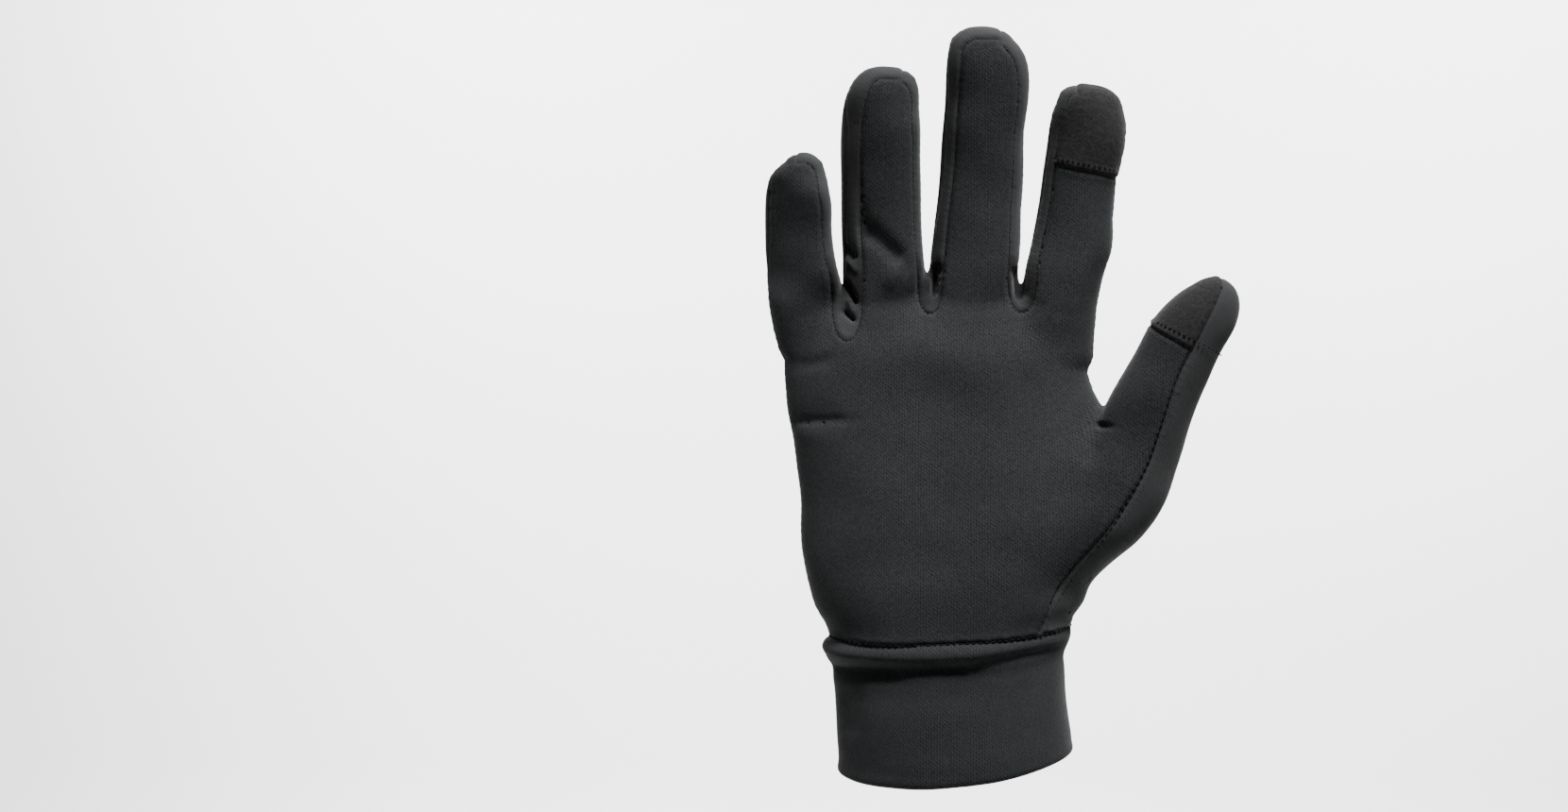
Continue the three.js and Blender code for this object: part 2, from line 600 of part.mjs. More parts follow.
const glove = new THREE.Group();
for (const [name, solid] of Object.entries(pieces)) {
  const colour = name.endsWith("touch_tip") ? feltColour : knitColour;
  glove.add(toMesh(name, solid, colour));
}

export default glove;
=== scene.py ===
import math

import bpy
import numpy as np
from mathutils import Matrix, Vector


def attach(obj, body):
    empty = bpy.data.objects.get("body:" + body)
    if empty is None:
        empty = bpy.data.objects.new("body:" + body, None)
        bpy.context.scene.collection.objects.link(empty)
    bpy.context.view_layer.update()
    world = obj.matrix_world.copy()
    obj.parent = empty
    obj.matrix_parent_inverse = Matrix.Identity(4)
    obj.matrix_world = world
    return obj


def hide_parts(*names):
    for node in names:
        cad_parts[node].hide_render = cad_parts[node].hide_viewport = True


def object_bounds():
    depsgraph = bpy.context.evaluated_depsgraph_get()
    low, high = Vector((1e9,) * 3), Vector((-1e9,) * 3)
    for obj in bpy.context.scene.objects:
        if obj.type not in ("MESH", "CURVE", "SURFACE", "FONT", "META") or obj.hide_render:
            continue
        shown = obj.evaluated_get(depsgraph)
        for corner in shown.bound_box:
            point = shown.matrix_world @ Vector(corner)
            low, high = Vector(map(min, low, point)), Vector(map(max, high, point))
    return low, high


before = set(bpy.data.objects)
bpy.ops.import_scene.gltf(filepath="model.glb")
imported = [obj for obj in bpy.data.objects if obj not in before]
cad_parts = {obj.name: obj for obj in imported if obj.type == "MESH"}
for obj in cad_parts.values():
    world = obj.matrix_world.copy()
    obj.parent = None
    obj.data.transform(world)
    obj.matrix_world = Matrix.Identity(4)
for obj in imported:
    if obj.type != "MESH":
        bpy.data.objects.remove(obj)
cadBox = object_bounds()
mm = 0.001  # the tables below are in millimetres, as in the part's source

# Cloth: each piece reaches past its seam by overlap and dips there by sink, as sewn cloth does
cloth = {
    "thickness": 1.58,
    "felt": 1.83,
    "overlap": 0.95,
    "sink": 1.0,
    "fineSink": 0.68,    # the same on the fine seams of the strips and patches
    "fineReach": 2.0,    # how far such a seam flattens the cloth beside it
    "fineRelief": 0.5,   # share of the puckers that it takes away
    "edgeRound": 0.7,
    "swell": 0.62,       # how far the cloth stands out from the plain form
    "cell": 0.845,       # side of a cell of the net that the pieces are drawn with
    "band": 5.5,         # places farther than this from the form hold no cloth
}


def table(columns, rows):
    # named columns out of rows of numbers
    values = np.array(rows, dtype=float)
    return {name: values[:, k] for k, name in enumerate(columns.split())}


cuff = {
    "height": 43.0,
    "width": 75.0,
    "depth": 48.0,
    "thickness": 2.6,
    "centreX": -1.2,
    "power": 2.2,
    "mouthSlope": 0.1,
    "mouthSag": 4.6,
    "mouthRound": 2.4,
    "swell": 0.15,
    "waves": 0.7,
    "seamSlope": 0.05,
    "seamSag": 2.5,
    "sections": table("up aside wide deep", [
        (0.0, 0.017, 0.955, 0.97),
        (0.03, 0.017, 0.98, 1.01),
        (0.12, 0.018, 0.976, 1.03),
        (0.3, 0.01, 0.97, 1.02),
        (0.5, 0.0, 0.968, 1.0),
        (0.68, -0.008, 0.975, 0.955),
        (0.78, -0.016, 0.985, 0.955),
        (0.86, -0.016, 1.018, 1.01),
        (0.94, -0.018, 1.045, 1.03),
        (1.0, -0.002, 1.01, 0.97),
    ]),
}

palm = {
    "length": 112.0,
    "width": 96.0,
    "depth": 30.0,
    "power": 2.3,
    "bentShare": 0.2,
    "capFrom": 0.68,
    "capTo": 0.985,
    "capPower": 2.0,
    "capSlope": 0.25,
    # fromCuff is how much of a section follows the top of the cuff
    "sections": table("up fromCuff left right front back", [
        (0.0, 1.0, -0.41, 0.37, 0.75, 0.73),
        (0.06, 0.5, -0.47, 0.44, 0.76, 0.64),
        (0.13, 0.2, -0.487, 0.453, 0.75, 0.635),
        (0.2, 0.0, -0.49, 0.49, 0.72, 0.62),
        (0.28, 0.0, -0.5, 0.52, 0.69, 0.59),
        (0.37, 0.0, -0.5, 0.56, 0.65, 0.56),
        (0.46, 0.0, -0.515, 0.57, 0.61, 0.54),
        (0.55, 0.0, -0.53, 0.54, 0.56, 0.52),
        (0.62, 0.0, -0.545, 0.49, 0.52, 0.5),
        (0.7, 0.0, -0.555, 0.44, 0.48, 0.49),
        (0.78, 0.0, -0.565, 0.435, 0.45, 0.49),
        (0.86, 0.0, -0.58, 0.44, 0.4, 0.45),
        (0.93, 0.0, -0.59, 0.45, 0.35, 0.4),
        (1.0, 0.0, -0.52, 0.4, 0.33, 0.36),
    ]),
    # broad rises and hollows of the palm's front
    "forms": table("across up wide tall forward", [
        (0.3, 0.3, 0.17, 0.2, 0.1),       # ball of the thumb
        (-0.28, 0.3, 0.16, 0.26, 0.06),   # heel below the little finger
        (-0.02, 0.5, 0.17, 0.24, -0.045), # hollow of the palm
        (-0.05, 0.8, 0.35, 0.1, 0.05),    # pads below the fingers
    ]),
}

# What all fingers share: the rounding of their sections, the share of the length over which the lower end
# closes inside the palm, between which heights a section is turned, how far round a finger it is worked
# out, and the rounding between two of them, which apart brings in where both stand clear of the palm. far
# stands for the palm's distance above palmReach
fingerForm = {
    "power": 2.3,
    "rootCap": 0.12,
    "turnStart": (-0.15, 0.15), "turnEnd": (0.7, 0.95),
    "reachBelow": 0.3, "reachAbove": 1.3, "reachAside": 1.5,
    "between": 0.6,
    "apart": 4.0,
    "palmReach": 12.0,
    "far": 60.0,
}

# Each finger: across, above, forward and up place its root on the palm, lean slants it to the thumb's
# side and curl to the front, in degrees, and turn slants its sections so that the strip at its side
# shows. Its rounded end starts at capFrom. blend rounds its meeting with the palm, and crotchBlend takes
# over between the two heights in crotch
fingerColumns = "along aside forward wide deep"
fingers = {
    "little": {
        "length": 41.6, "width": 21.8, "depth": 16.0, "across": -0.497, "above": -2.0,
        "lean": 0.5, "curl": 11.0, "turn": 0.4, "capFrom": 0.55, "capPower": 2.0,
        "blend": 4.0, "crotchBlend": 1.2, "crotch": (138, 148),
        "sections": table(fingerColumns, [
            (-0.6, 0.16, 0.12, 0.8, 0.9),
            (-0.25, 0.03, 0.05, 0.98, 1.1),
            (0.0, 0.0, 0.0, 1.04, 1.12),
            (0.25, -0.07, -0.06, 1.0, 1.04),
            (0.45, -0.09, -0.08, 0.97, 0.98),
            (0.62, -0.09, -0.06, 0.94, 0.92),
            (0.74, -0.09, -0.03, 0.86, 0.85),
            (0.85, -0.06, 0.0, 0.71, 0.72),
            (0.94, 0.0, 0.02, 0.46, 0.5),
        ]),
    },
    "ring": {
        "length": 66.2, "width": 24.2, "depth": 18.0, "across": -0.231, "above": 0.0,
        "lean": 1.0, "curl": 9.5, "turn": 0.3, "capFrom": 0.74, "capPower": 2.6,
        "blend": 5.0, "crotchBlend": 1.2, "crotch": (140, 150),
        "sections": table(fingerColumns, [
            (-0.45, 0.02, 0.1, 0.9, 0.9),
            (-0.2, 0.0, 0.05, 0.98, 1.08),
            (0.0, 0.0, 0.0, 1.02, 1.1),
            (0.25, -0.05, -0.08, 1.03, 1.02),
            (0.5, -0.065, -0.1, 1.01, 0.97),
            (0.7, -0.065, -0.08, 0.99, 0.92),
            (0.82, -0.06, -0.04, 0.94, 0.85),
            (0.9, -0.03, 0.0, 0.86, 0.74),
            (0.96, -0.01, 0.02, 0.68, 0.54),
        ]),
    },
    "middle": {
        "length": 77.8, "width": 25.6, "depth": 18.5, "across": 0.065, "above": 0.0,
        "lean": 2.2, "curl": 8.6, "turn": 0.1, "capFrom": 0.76, "capPower": 2.6,
        "blend": 5.0, "crotchBlend": 1.2, "crotch": (140, 150),
        "sections": table(fingerColumns, [
            (-0.42, -0.03, 0.1, 0.9, 0.9),
            (-0.2, -0.02, 0.05, 1.0, 1.08),
            (0.0, 0.0, 0.0, 1.04, 1.1),
            (0.22, 0.02, -0.08, 1.01, 1.02),
            (0.42, 0.05, -0.11, 0.97, 0.98),
            (0.6, 0.06, -0.1, 0.96, 0.95),
            (0.74, 0.08, -0.07, 0.97, 0.9),
            (0.84, 0.08, -0.03, 0.94, 0.83),
            (0.91, 0.06, 0.0, 0.85, 0.72),
            (0.96, 0.02, 0.02, 0.68, 0.54),
        ]),
    },
    "index": {
        "length": 58.6, "width": 22.6, "depth": 18.0, "across": 0.371, "above": 1.0,
        "lean": 7.0, "curl": 8.0, "turn": 0.15, "capFrom": 0.7, "capPower": 2.7,
        "blend": 5.0, "crotchBlend": 1.2, "crotch": (140, 150),
        "sections": table(fingerColumns, [
            (-0.5, 0.04, 0.1, 0.9, 0.95),
            (-0.22, -0.04, 0.05, 0.94, 1.1),
            (0.0, -0.03, 0.0, 1.02, 1.1),
            (0.15, 0.01, -0.05, 1.04, 1.04),
            (0.35, 0.02, -0.09, 0.98, 0.98),
            (0.55, 0.01, -0.1, 0.96, 0.95),
            (0.72, 0.03, -0.06, 0.99, 0.91),
            (0.84, 0.03, -0.03, 0.94, 0.83),
            (0.92, 0.015, 0.0, 0.8, 0.68),
            (0.97, 0.0, 0.02, 0.64, 0.48),
        ]),
    },
    "thumb": {
        "length": 80.4, "width": 24.0, "depth": 22.0, "across": 0.476, "forward": 0.167, "up": 0.348,
        "lean": 27.6, "curl": 9.0, "turn": 0.08, "capFrom": 0.68, "capPower": 2.4,
        "blend": 7.0, "crotchBlend": 4.0, "crotch": (92, 112),
        "sections": table(fingerColumns, [
            (-0.42, -0.45, 0.0, 0.8, 0.8),
            (-0.2, -0.2, 0.1, 1.1, 1.15),
            (-0.02, 0.035, 0.1, 1.17, 1.22),
            (0.14, 0.085, 0.05, 1.17, 1.14),
            (0.3, 0.025, 0.0, 1.13, 1.06),
            (0.46, -0.03, 0.0, 1.02, 1.0),
            (0.62, -0.05, 0.0, 0.93, 0.93),
            (0.76, -0.05, 0.0, 0.88, 0.86),
            (0.87, 0.0, 0.01, 0.8, 0.74),
            (0.94, 0.03, 0.02, 0.61, 0.56),
        ]),
    },
}

# The outer seam of the thumb: deep is how far in front of the thumb's middle line the cloth lies there.
# From it the parting runs back steeply, then less, to the inner seam. hand and thumb are where the palm's
# parting turns into it
thumbSeam = {
    "path": table("along aside deep", [
        (-0.5, 0.09, 1.05),
        (-0.38, 0.06, 1.0),
        (-0.25, 0.1, 0.95),
        (-0.08, 0.2, 0.82),
        (0.07, 0.235, 0.68),
        (0.25, 0.235, 0.55),
        (0.38, 0.165, 0.46),
        (0.56, 0.05, 0.4),
        (0.65, 0.02, 0.36),
        (0.8, 0.005, 0.3),
        (1.0, 0.02, 0.22),
    ]),
    "turn": 0.17, "steep": 3.0, "shallow": 1.2, "inner": 0.62, "hand": -1.0, "thumb": -0.7,
    "round": 2.0, "farFront": -60.0, "along": (-0.62, 0.97), "frontY": -14.0, "aboveCuff": 0.6,
}

# The strips between the fingers: how far their seams lie inside each finger's outline, as shares of its
# width, and for each strip its two fingers and how far it drops below their roots
strips = {
    "insets": {
        "little": {"palmRight": 0.1, "backRight": 0.12, "tip": 0.14, "meet": -0.2},
        "ring": {"palmLeft": 0.26, "palmRight": 0.06, "backLeft": 0.08, "backRight": 0.12,
                 "tip": 0.17, "meet": 0.45},
        "middle": {"palmLeft": 0.15, "palmRight": 0.1, "backLeft": 0.08, "backRight": 0.12,
                   "tip": 0.15, "meet": 0.45},
        "index": {"palmLeft": 0.12, "backLeft": 0.1, "tip": 0.1, "meet": -0.35},
    },
    "pairs": {
        "fourchette_little_ring": ("little", "ring", 18.5),
        "fourchette_ring_middle": ("ring", "middle", 11.8),
        "fourchette_middle_index": ("middle", "index", 11.2),
    },
    "backExtra": 4.5,
    "crotchPower": 0.7,
    "reach": 20.0,
}

# The felted patches: length down from the tip, and slope of the lower edge
patches = {
    "index": {"length": 25.6, "slope": -0.1},
    "thumb": {"length": 22.0, "slope": 0.0},
}
# The lip that a patch has a little above its lower edge, and how far aside a patch reaches
hem = {"above": 0.9, "wide": 0.6, "height": 0.25, "aside": 0.68, "outside": 9.0}


def smoothstep(low, high, x):
    # 0 up to low, 1 from high on, and between them three times the square of the share less twice its cube
    t = np.clip((x - low) / (high - low), 0, 1)
    return t * t * (3 - 2 * t)


def smoothMin(a, b, k):
    # the smaller of two distances, rounded where they differ by less than k
    h = np.clip(1 - np.abs(a - b) / k, 0, 1)
    return np.minimum(a, b) - h * h * k / 4


def smoothMax(a, b, k):
    # the larger of two distances, rounded in the same way
    return -smoothMin(-a, -b, k)


def throughPoints(xs, ys, at):
    # a smooth curve through the points: cubics whose slopes come from each point's two neighbours
    slopes = np.gradient(ys, xs)
    row = np.clip(np.searchsorted(xs, at, side="right") - 1, 0, len(xs) - 2)
    wide = xs[row + 1] - xs[row]
    t = np.clip((at - xs[row]) / wide, 0, 1)
    rise = ys[row + 1] - ys[row]
    return (ys[row] + rise * t * t * (3 - 2 * t)
            + wide * slopes[row] * t * (1 - t) ** 2 - wide * slopes[row + 1] * t * t * (1 - t))


def sampler(columns, key, count=900):
    # the columns of a table as smooth functions of its first column, read off a fine list
    low, high = columns[key][0], columns[key][-1]
    at = np.linspace(low, high, count)
    fine = {
        name: throughPoints(columns[key], values, at) for name, values in columns.items() if name != key
    }

    def sample(x):
        # between the two nearest rows of the fine list
        place = np.clip((x - low) / (high - low), 0, 1) * (count - 1.001)
        row = place.astype(int)
        part = place - row
        return {name: values[row] + part * (values[row + 1] - values[row]) for name, values in fine.items()}

    return sample


def prepareFinger(name, finger):
    # the finger's own frame, and its sections with the rounding of the tip taken out of them
    lean, curl = math.radians(finger["lean"]), math.radians(finger["curl"])
    finger["upward"] = np.array([
        math.sin(lean) * math.cos(curl), -math.sin(curl), math.cos(lean) * math.cos(curl),
    ])
    finger["side"] = np.array([math.cos(lean), 0, -math.sin(lean)])
    finger["front"] = -np.cross(finger["upward"], finger["side"])
    if name == "thumb":
        finger["root"] = np.array([
            finger["across"] * palm["width"], -finger["forward"] * palm["depth"],
            cuff["height"] + finger["up"] * palm["length"],
        ])
    else:
        finger["root"] = np.array([
            finger["across"] * palm["width"], 0, cuff["height"] + palm["length"] + finger["above"],
        ])
    rows = dict(finger["sections"])
    power = finger["capPower"]
    t = np.clip((rows["along"] - finger["capFrom"]) / (1 - finger["capFrom"]), 0, 1)
    closing = (1 - t ** power) ** (1 / power)
    rows["wide"] = rows["wide"] / closing
    rows["deep"] = rows["deep"] / closing
    finger["sample"] = sampler(rows, "along")


for fingerName, fingerValues in fingers.items():
    prepareFinger(fingerName, fingerValues)


def tubeDistance(across, deep, halfWidth, halfDepth, power, end, endLength, endPower):
    # distance to a tube of rounded sections, closed by a rounded end: the norm of the place in the section,
    # less 1, over the norm's own slope. end runs from 0 where the end begins to 1 at its tip
    x = np.abs(across) / halfWidth
    y = np.abs(deep) / halfDepth
    m = np.maximum((x ** power + y ** power) ** (1 / power), 1e-4)
    n = np.maximum((m ** endPower + end ** endPower) ** (1 / endPower), 1e-4)
    slopeX = (x / m) ** (power - 1) / halfWidth
    slopeY = (y / m) ** (power - 1) / halfDepth
    inSection = (m / n) ** (endPower - 1)
    onward = (end / n) ** (endPower - 1) / endLength
    return (n - 1) / np.sqrt(inSection ** 2 * (slopeX ** 2 + slopeY ** 2) + onward ** 2)


def fingerPlace(finger, p):
    # along, across and in front of the finger's middle line, and its half width and half depth there
    q = p - finger["root"]
    along = q @ finger["upward"] / finger["length"]
    row = finger["sample"](along)
    across = q @ finger["side"] - row["aside"] * finger["width"]
    ahead = q @ finger["front"] - row["forward"] * finger["depth"]
    started = smoothstep(*fingerForm["turnStart"], along)
    ended = smoothstep(*fingerForm["turnEnd"], along)
    ahead = ahead - finger["turn"] * across * started * (1 - ended)
    return along, across, ahead, row["wide"] * finger["width"] / 2, row["deep"] * finger["depth"] / 2


def fingerDistance(finger, p):
    # distance to the tube of the finger's sections, with a rounded end at the tip and one inside the palm
    along, across, ahead, halfWidth, halfDepth = fingerPlace(finger, p)
    endShare = 1 - finger["capFrom"]
    lowest = finger["sections"]["along"][0]
    end = np.maximum(along - finger["capFrom"], 0) / endShare
    end = end + np.maximum(lowest + fingerForm["rootCap"] - along, 0) / fingerForm["rootCap"]
    return tubeDistance(across, ahead, halfWidth, halfDepth, fingerForm["power"], end,
                        endShare * finger["length"], finger["capPower"])


def edgeHeight(name, level, x, y):
    # each edge of the cuff rises to the thumb's side and sags in front and behind
    return level + cuff[name + "Slope"] * x - cuff[name + "Sag"] * (2 * y / cuff["depth"]) ** 2


palmSample = sampler(palm["sections"], "up")
cuffSample = sampler(cuff["sections"], "up")
cuffTop = cuff["sections"]["deep"][-1] * cuff["depth"] / 2
cuffTopHalf = cuff["sections"]["wide"][-1] * cuff["width"] / 2


def palmPlace(p):
    # height up the palm, the place in its section, and the section's half width and half depth. The
    # lowest sections bend with the cuff's seam, and each form adds a bell curve to the front
    x, y, z = p[:, 0], p[:, 1], p[:, 2]
    bent = edgeHeight("seam", cuff["height"], x, y)
    low = (z - bent) / ((cuff["height"] - bent) / palm["bentShare"] + palm["length"])
    high = (z - cuff["height"]) / palm["length"]
    up = np.where(high < palm["bentShare"], low, high)
    row = palmSample(up)
    share = row["fromCuff"]
    left = row["left"] * palm["width"] * (1 - share) + (cuff["centreX"] - cuffTopHalf) * share
    right = row["right"] * palm["width"] * (1 - share) + (cuff["centreX"] + cuffTopHalf) * share
    front = row["front"] * palm["depth"] * (1 - share) + cuffTop * share
    back = row["back"] * palm["depth"] * (1 - share) + cuffTop * share
    forms = palm["forms"]
    for k in range(len(forms["up"])):
        sideways = (x / palm["width"] - forms["across"][k]) / forms["wide"][k]
        upwards = (up - forms["up"][k]) / forms["tall"][k]
        front = front + forms["forward"][k] * palm["depth"] * np.exp(-sideways ** 2 - upwards ** 2)
    halfDepth = front + (back - front) * smoothstep(-1, 1, y)
    return up, x - (left + right) / 2, -y, (right - left) / 2, halfDepth


def palmDistance(p):
    # distance to the tube of the palm's sections. Its upper end narrows only in depth, so the end is
    # joined to the depth and not to the width
    up, across, ahead, halfWidth, halfDepth = palmPlace(p)
    end = np.maximum(up - palm["capFrom"], 0) / (palm["capTo"] - palm["capFrom"])
    y = (np.abs(ahead / halfDepth) ** palm["capPower"] + end ** palm["capPower"]) ** (1 / palm["capPower"])
    none = np.zeros_like(up)
    flat = tubeDistance(across, y * halfDepth, halfWidth, halfDepth, palm["power"], none, 1.0, 2.0)
    slope = 1 + (end / np.maximum(y, 1e-4)) ** 2 * palm["capSlope"]
    return flat / slope


def handDistance(p):
    # every finger joined softly to the palm, and the fingers to each other with hardly any rounding. Each
    # is worked out only for the places around it
    flat = np.full(len(p), fingerForm["far"])
    palmNear = p[:, 2] < cuff["height"] + palm["length"] + fingerForm["palmReach"]
    flat[palmNear] = palmDistance(p[palmNear])
    joined = flat.copy()
    for finger in fingers.values():
        offset = p - finger["root"]
        along = offset @ finger["upward"] / finger["length"]
        aside = np.abs(offset @ finger["side"]) / finger["width"]
        close = ((along > finger["sections"]["along"][0] - fingerForm["reachBelow"])
                 & (along < fingerForm["reachAbove"]) & (aside < fingerForm["reachAside"]))
        if not close.any():
            continue
        own = fingerDistance(finger, p[close])
        low, high = finger["crotch"]
        tighter = (finger["crotchBlend"] - finger["blend"]) * smoothstep(low, high, p[close, 2])
        blend = finger["blend"] + tighter
        own = smoothMin(flat[close], own, blend)
        # where one of the two is the bare palm they are joined without rounding, which would swell the palm
        apart = np.clip((flat[close] - own)
                        * (flat[close] - joined[close]) * fingerForm["apart"], 0, 1)
        joined[close] = smoothMin(joined[close], own, fingerForm["between"] * apart + 1e-6)
    return joined - cloth["swell"]


class PlaneMap:
    # values over the front view, x and z, read between the points of a fine grid
    def __init__(self, low, high, step, work):
        self.low, self.step = np.array(low, dtype=float), step
        self.count = np.ceil((np.array(high) - low) / step).astype(int) + 1
        x = low[0] + step * np.arange(self.count[0])
        z = low[1] + step * np.arange(self.count[1])
        gridX, gridZ = np.meshgrid(x, z, indexing="ij")
        self.values = work(gridX.ravel(), gridZ.ravel()).reshape(self.count)

    def read(self, x, z):
        # between the four nearest points of the grid, in proportion to how near each one is
        u = np.clip((x - self.low[0]) / self.step, 0, self.count[0] - 1.001)
        v = np.clip((z - self.low[1]) / self.step, 0, self.count[1] - 1.001)
        i, j = u.astype(int), v.astype(int)
        u, v = u - i, v - j
        g = self.values
        return ((g[i, j] * (1 - u) + g[i + 1, j] * u) * (1 - v)
                + (g[i, j + 1] * (1 - u) + g[i + 1, j + 1] * u) * v)


def toPath(points, x, z):
    # distance from each place to a path in the front view, how far along it the nearest point lies, and
    # its length
    best = np.full(len(x), 1e9)
    where = np.zeros(len(x))
    run = 0.0
    for (ax, az), (bx, bz) in zip(points[:-1], points[1:]):
        dx, dz = bx - ax, bz - az
        length = math.hypot(dx, dz)
        if length < 1e-9:
            continue
        t = np.clip(((x - ax) * dx + (z - az) * dz) / length ** 2, 0, 1)
        away = np.hypot(x - ax - t * dx, z - az - t * dz)
        closer = away < best
        best = np.where(closer, away, best)
        where = np.where(closer, run + t * length, where)
        run += length
    return best, where, run


def insideOutline(points, x, z):
    # even or odd number of crossings of the outline to the right of each place
    odd = np.zeros(len(x), dtype=bool)
    for (ax, az), (bx, bz) in zip(points, points[1:] + points[:1]):
        crosses = (az > z) != (bz > z)
        at = ax + (z - az) * (bx - ax) / np.where(bz == az, 1e-9, bz - az)
        odd ^= crosses & (x < at)
    return odd


def outlineMap(points):
    # signed distance to a closed outline in the front view, less than 0 inside
    spread = np.array(points)
    margin, step = 8.0, 0.4

    def work(x, z):
        away = toPath(points + points[:1], x, z)[0]
        return np.where(insideOutline(points, x, z), -away, away)

    return PlaneMap(spread.min(axis=0) - margin, spread.max(axis=0) + margin, step, work)


def middleLine(finger, z):
    # depth of a finger's middle line at a height: it comes forward above the root by the tangent of its curl
    return finger["root"][1] - np.maximum(z - finger["root"][2], 0) * math.tan(math.radians(finger["curl"]))


def partingSurface(x, z):
    # where the palm side meets the back: the fingers' middle planes, turned round the thumb so that its
    # outer seam shows from the palm and its inner seam from the back
    little, index, thumb = fingers["little"], fingers["index"], fingers["thumb"]
    share = np.clip((x - little["root"][0]) / (index["root"][0] - little["root"][0]), 0, 1)
    hand = middleLine(little, z) * (1 - share) + middleLine(index, z) * share
    lean = math.radians(thumb["lean"])
    offsetX, offsetZ = x - thumb["root"][0], z - thumb["root"][2]
    along = (offsetX * math.sin(lean) + offsetZ * math.cos(lean)) / thumb["length"]
    across = (offsetX * math.cos(lean) - offsetZ * math.sin(lean)) / thumb["width"]
    middleY = thumb["root"][1] - along * thumb["length"] * math.sin(math.radians(thumb["curl"]))
    path = sampler(thumbSeam["path"], "along")(along)
    seamY = middleY - path["deep"] * thumb["depth"]
    inward = path["aside"] - across
    steep = np.minimum(inward, thumbSeam["turn"]) * thumbSeam["steep"]
    shallow = np.maximum(inward - thumbSeam["turn"], 0) * thumbSeam["shallow"]
    turned = seamY + (steep + shallow) * thumb["width"]
    blend = smoothstep(thumbSeam["hand"], thumbSeam["thumb"], across)
    ceiling = hand * (1 - blend) + (middleY + thumbSeam["inner"] * thumb["depth"]) * blend
    return np.maximum(smoothMin(turned, ceiling, thumbSeam["round"]), thumbSeam["farFront"])


# Corners of the front view in x and z, and the steps of the grids over it
viewLow, viewHigh = (-75.0, -20.0), (105.0, 250.0)
steps = {"parting": 0.5, "folds": 0.4, "waves": 0.8}
partingMap = PlaneMap(viewLow, viewHigh, steps["parting"], partingSurface)


def partingSlope(x, z):
    # length of the parting surface's slope, from its rise over 1 mm each way
    half = 0.5
    dx = (partingSurface(x + half, z) - partingSurface(x - half, z)) / (2 * half)
    dz = (partingSurface(x, z + half) - partingSurface(x, z - half)) / (2 * half)
    return np.sqrt(1 + dx ** 2 + dz ** 2)


slopeMap = PlaneMap(viewLow, viewHigh, steps["parting"], partingSlope)


def behind(p):
    # distance behind the parting surface, less than 0 in front of it
    return (p[:, 1] - partingMap.read(p[:, 0], p[:, 2])) / slopeMap.read(p[:, 0], p[:, 2])


def panelSide(name, direction, inset):
    # points up one side of a finger's panel in the front view, to where the strips meet over its tip
    finger, insets = fingers[name], strips["insets"][name]
    nearTip, count, belowMeeting = 0.995, 48, 0.7
    share = np.linspace(0, nearTip, count)
    row = finger["sample"](share)
    t = np.clip((share - finger["capFrom"]) / (1 - finger["capFrom"]), 0, 1)
    closing = (1 - t ** finger["capPower"]) ** (1 / finger["capPower"])
    half = np.maximum((row["wide"] / 2 - inset) * finger["width"], 0) * closing
    shorten = (finger["length"] - insets["tip"] * finger["width"]) / finger["length"]
    across = row["aside"] * finger["width"] + direction * half
    meet = insets["meet"] * finger["width"] / 2
    keep = (direction * (across - meet) > 0) | (share < belowMeeting)
    along = share[keep] * shorten * finger["length"]
    across = across[keep]
    x = finger["root"][0] + along * finger["upward"][0] + across * finger["side"][0]
    z = finger["root"][2] + along * finger["upward"][2] + across * finger["side"][2]
    return list(zip(x, z))


def meetingPoint(name):
    # the place at the height of a finger's tip where its two strips meet
    finger = fingers[name]
    half = strips["insets"][name]["meet"] * finger["width"] / 2
    at = finger["root"] + finger["upward"] * finger["length"] + finger["side"] * half
    return at[0], at[2]


def stripOutline(leftName, rightName, side, drop):
    # up the left finger's right side, over both tips, down the right finger's left side and round the
    # crotch, whose drop follows a power of the sine
    inner = panelSide(leftName, 1, strips["insets"][leftName][side + "Right"])
    outer = panelSide(rightName, -1, strips["insets"][rightName][side + "Left"])[::-1]
    meetLeft, meetRight = meetingPoint(leftName), meetingPoint(rightName)
    top = max(meetLeft[1], meetRight[1]) + strips["reach"]
    leftRoot, rightRoot = inner[0], outer[-1]
    bottom = min(leftRoot[1], rightRoot[1]) - drop
    angle = np.linspace(0, math.pi, 20)[1:-1]
    share = (1 - np.cos(angle)) / 2
    level = rightRoot[1] + (leftRoot[1] - rightRoot[1]) * share
    crotchX = rightRoot[0] + (leftRoot[0] - rightRoot[0]) * share
    crotchZ = level + (bottom - level) * np.sin(angle) ** strips["crotchPower"]
    above = [
        (meetLeft[0], inner[-1][1]), (meetLeft[0], top), (meetRight[0], top), (meetRight[0], outer[0][1]),
    ]
    seam = outer + list(zip(crotchX, crotchZ)) + inner
    return above + seam, seam


stripSeams = {}
stripMaps = {}
for stripName, (leftFinger, rightFinger, crotchDrop) in strips["pairs"].items():
    for side, extra in (("palm", 0.0), ("back", strips["backExtra"])):
        outline, seam = stripOutline(leftFinger, rightFinger, side, crotchDrop + extra)
        stripSeams[stripName, side] = seam
        stripMaps[stripName, side] = outlineMap(outline)
print("seam lines worked out")


def stripDistance(name, p, back):
    # the strip's region: its palm outline in front of the parting surface and its back outline behind it
    palmSide = stripMaps[name, "palm"].read(p[:, 0], p[:, 2])
    backSide = stripMaps[name, "back"].read(p[:, 0], p[:, 2])
    return np.minimum(np.maximum(palmSide, back), np.maximum(backSide, -back))


def patchDistance(name, p):
    # above the patch's lower edge, less than 0 inside
    finger, patch = fingers[name], patches[name]
    q = p - finger["root"]
    along = q @ finger["upward"]
    across = q @ finger["side"]
    away = np.where(np.abs(across) > finger["width"] * hem["aside"], hem["outside"], -hem["outside"])
    return np.maximum(finger["length"] - patch["length"] + patch["slope"] * across - along, away)


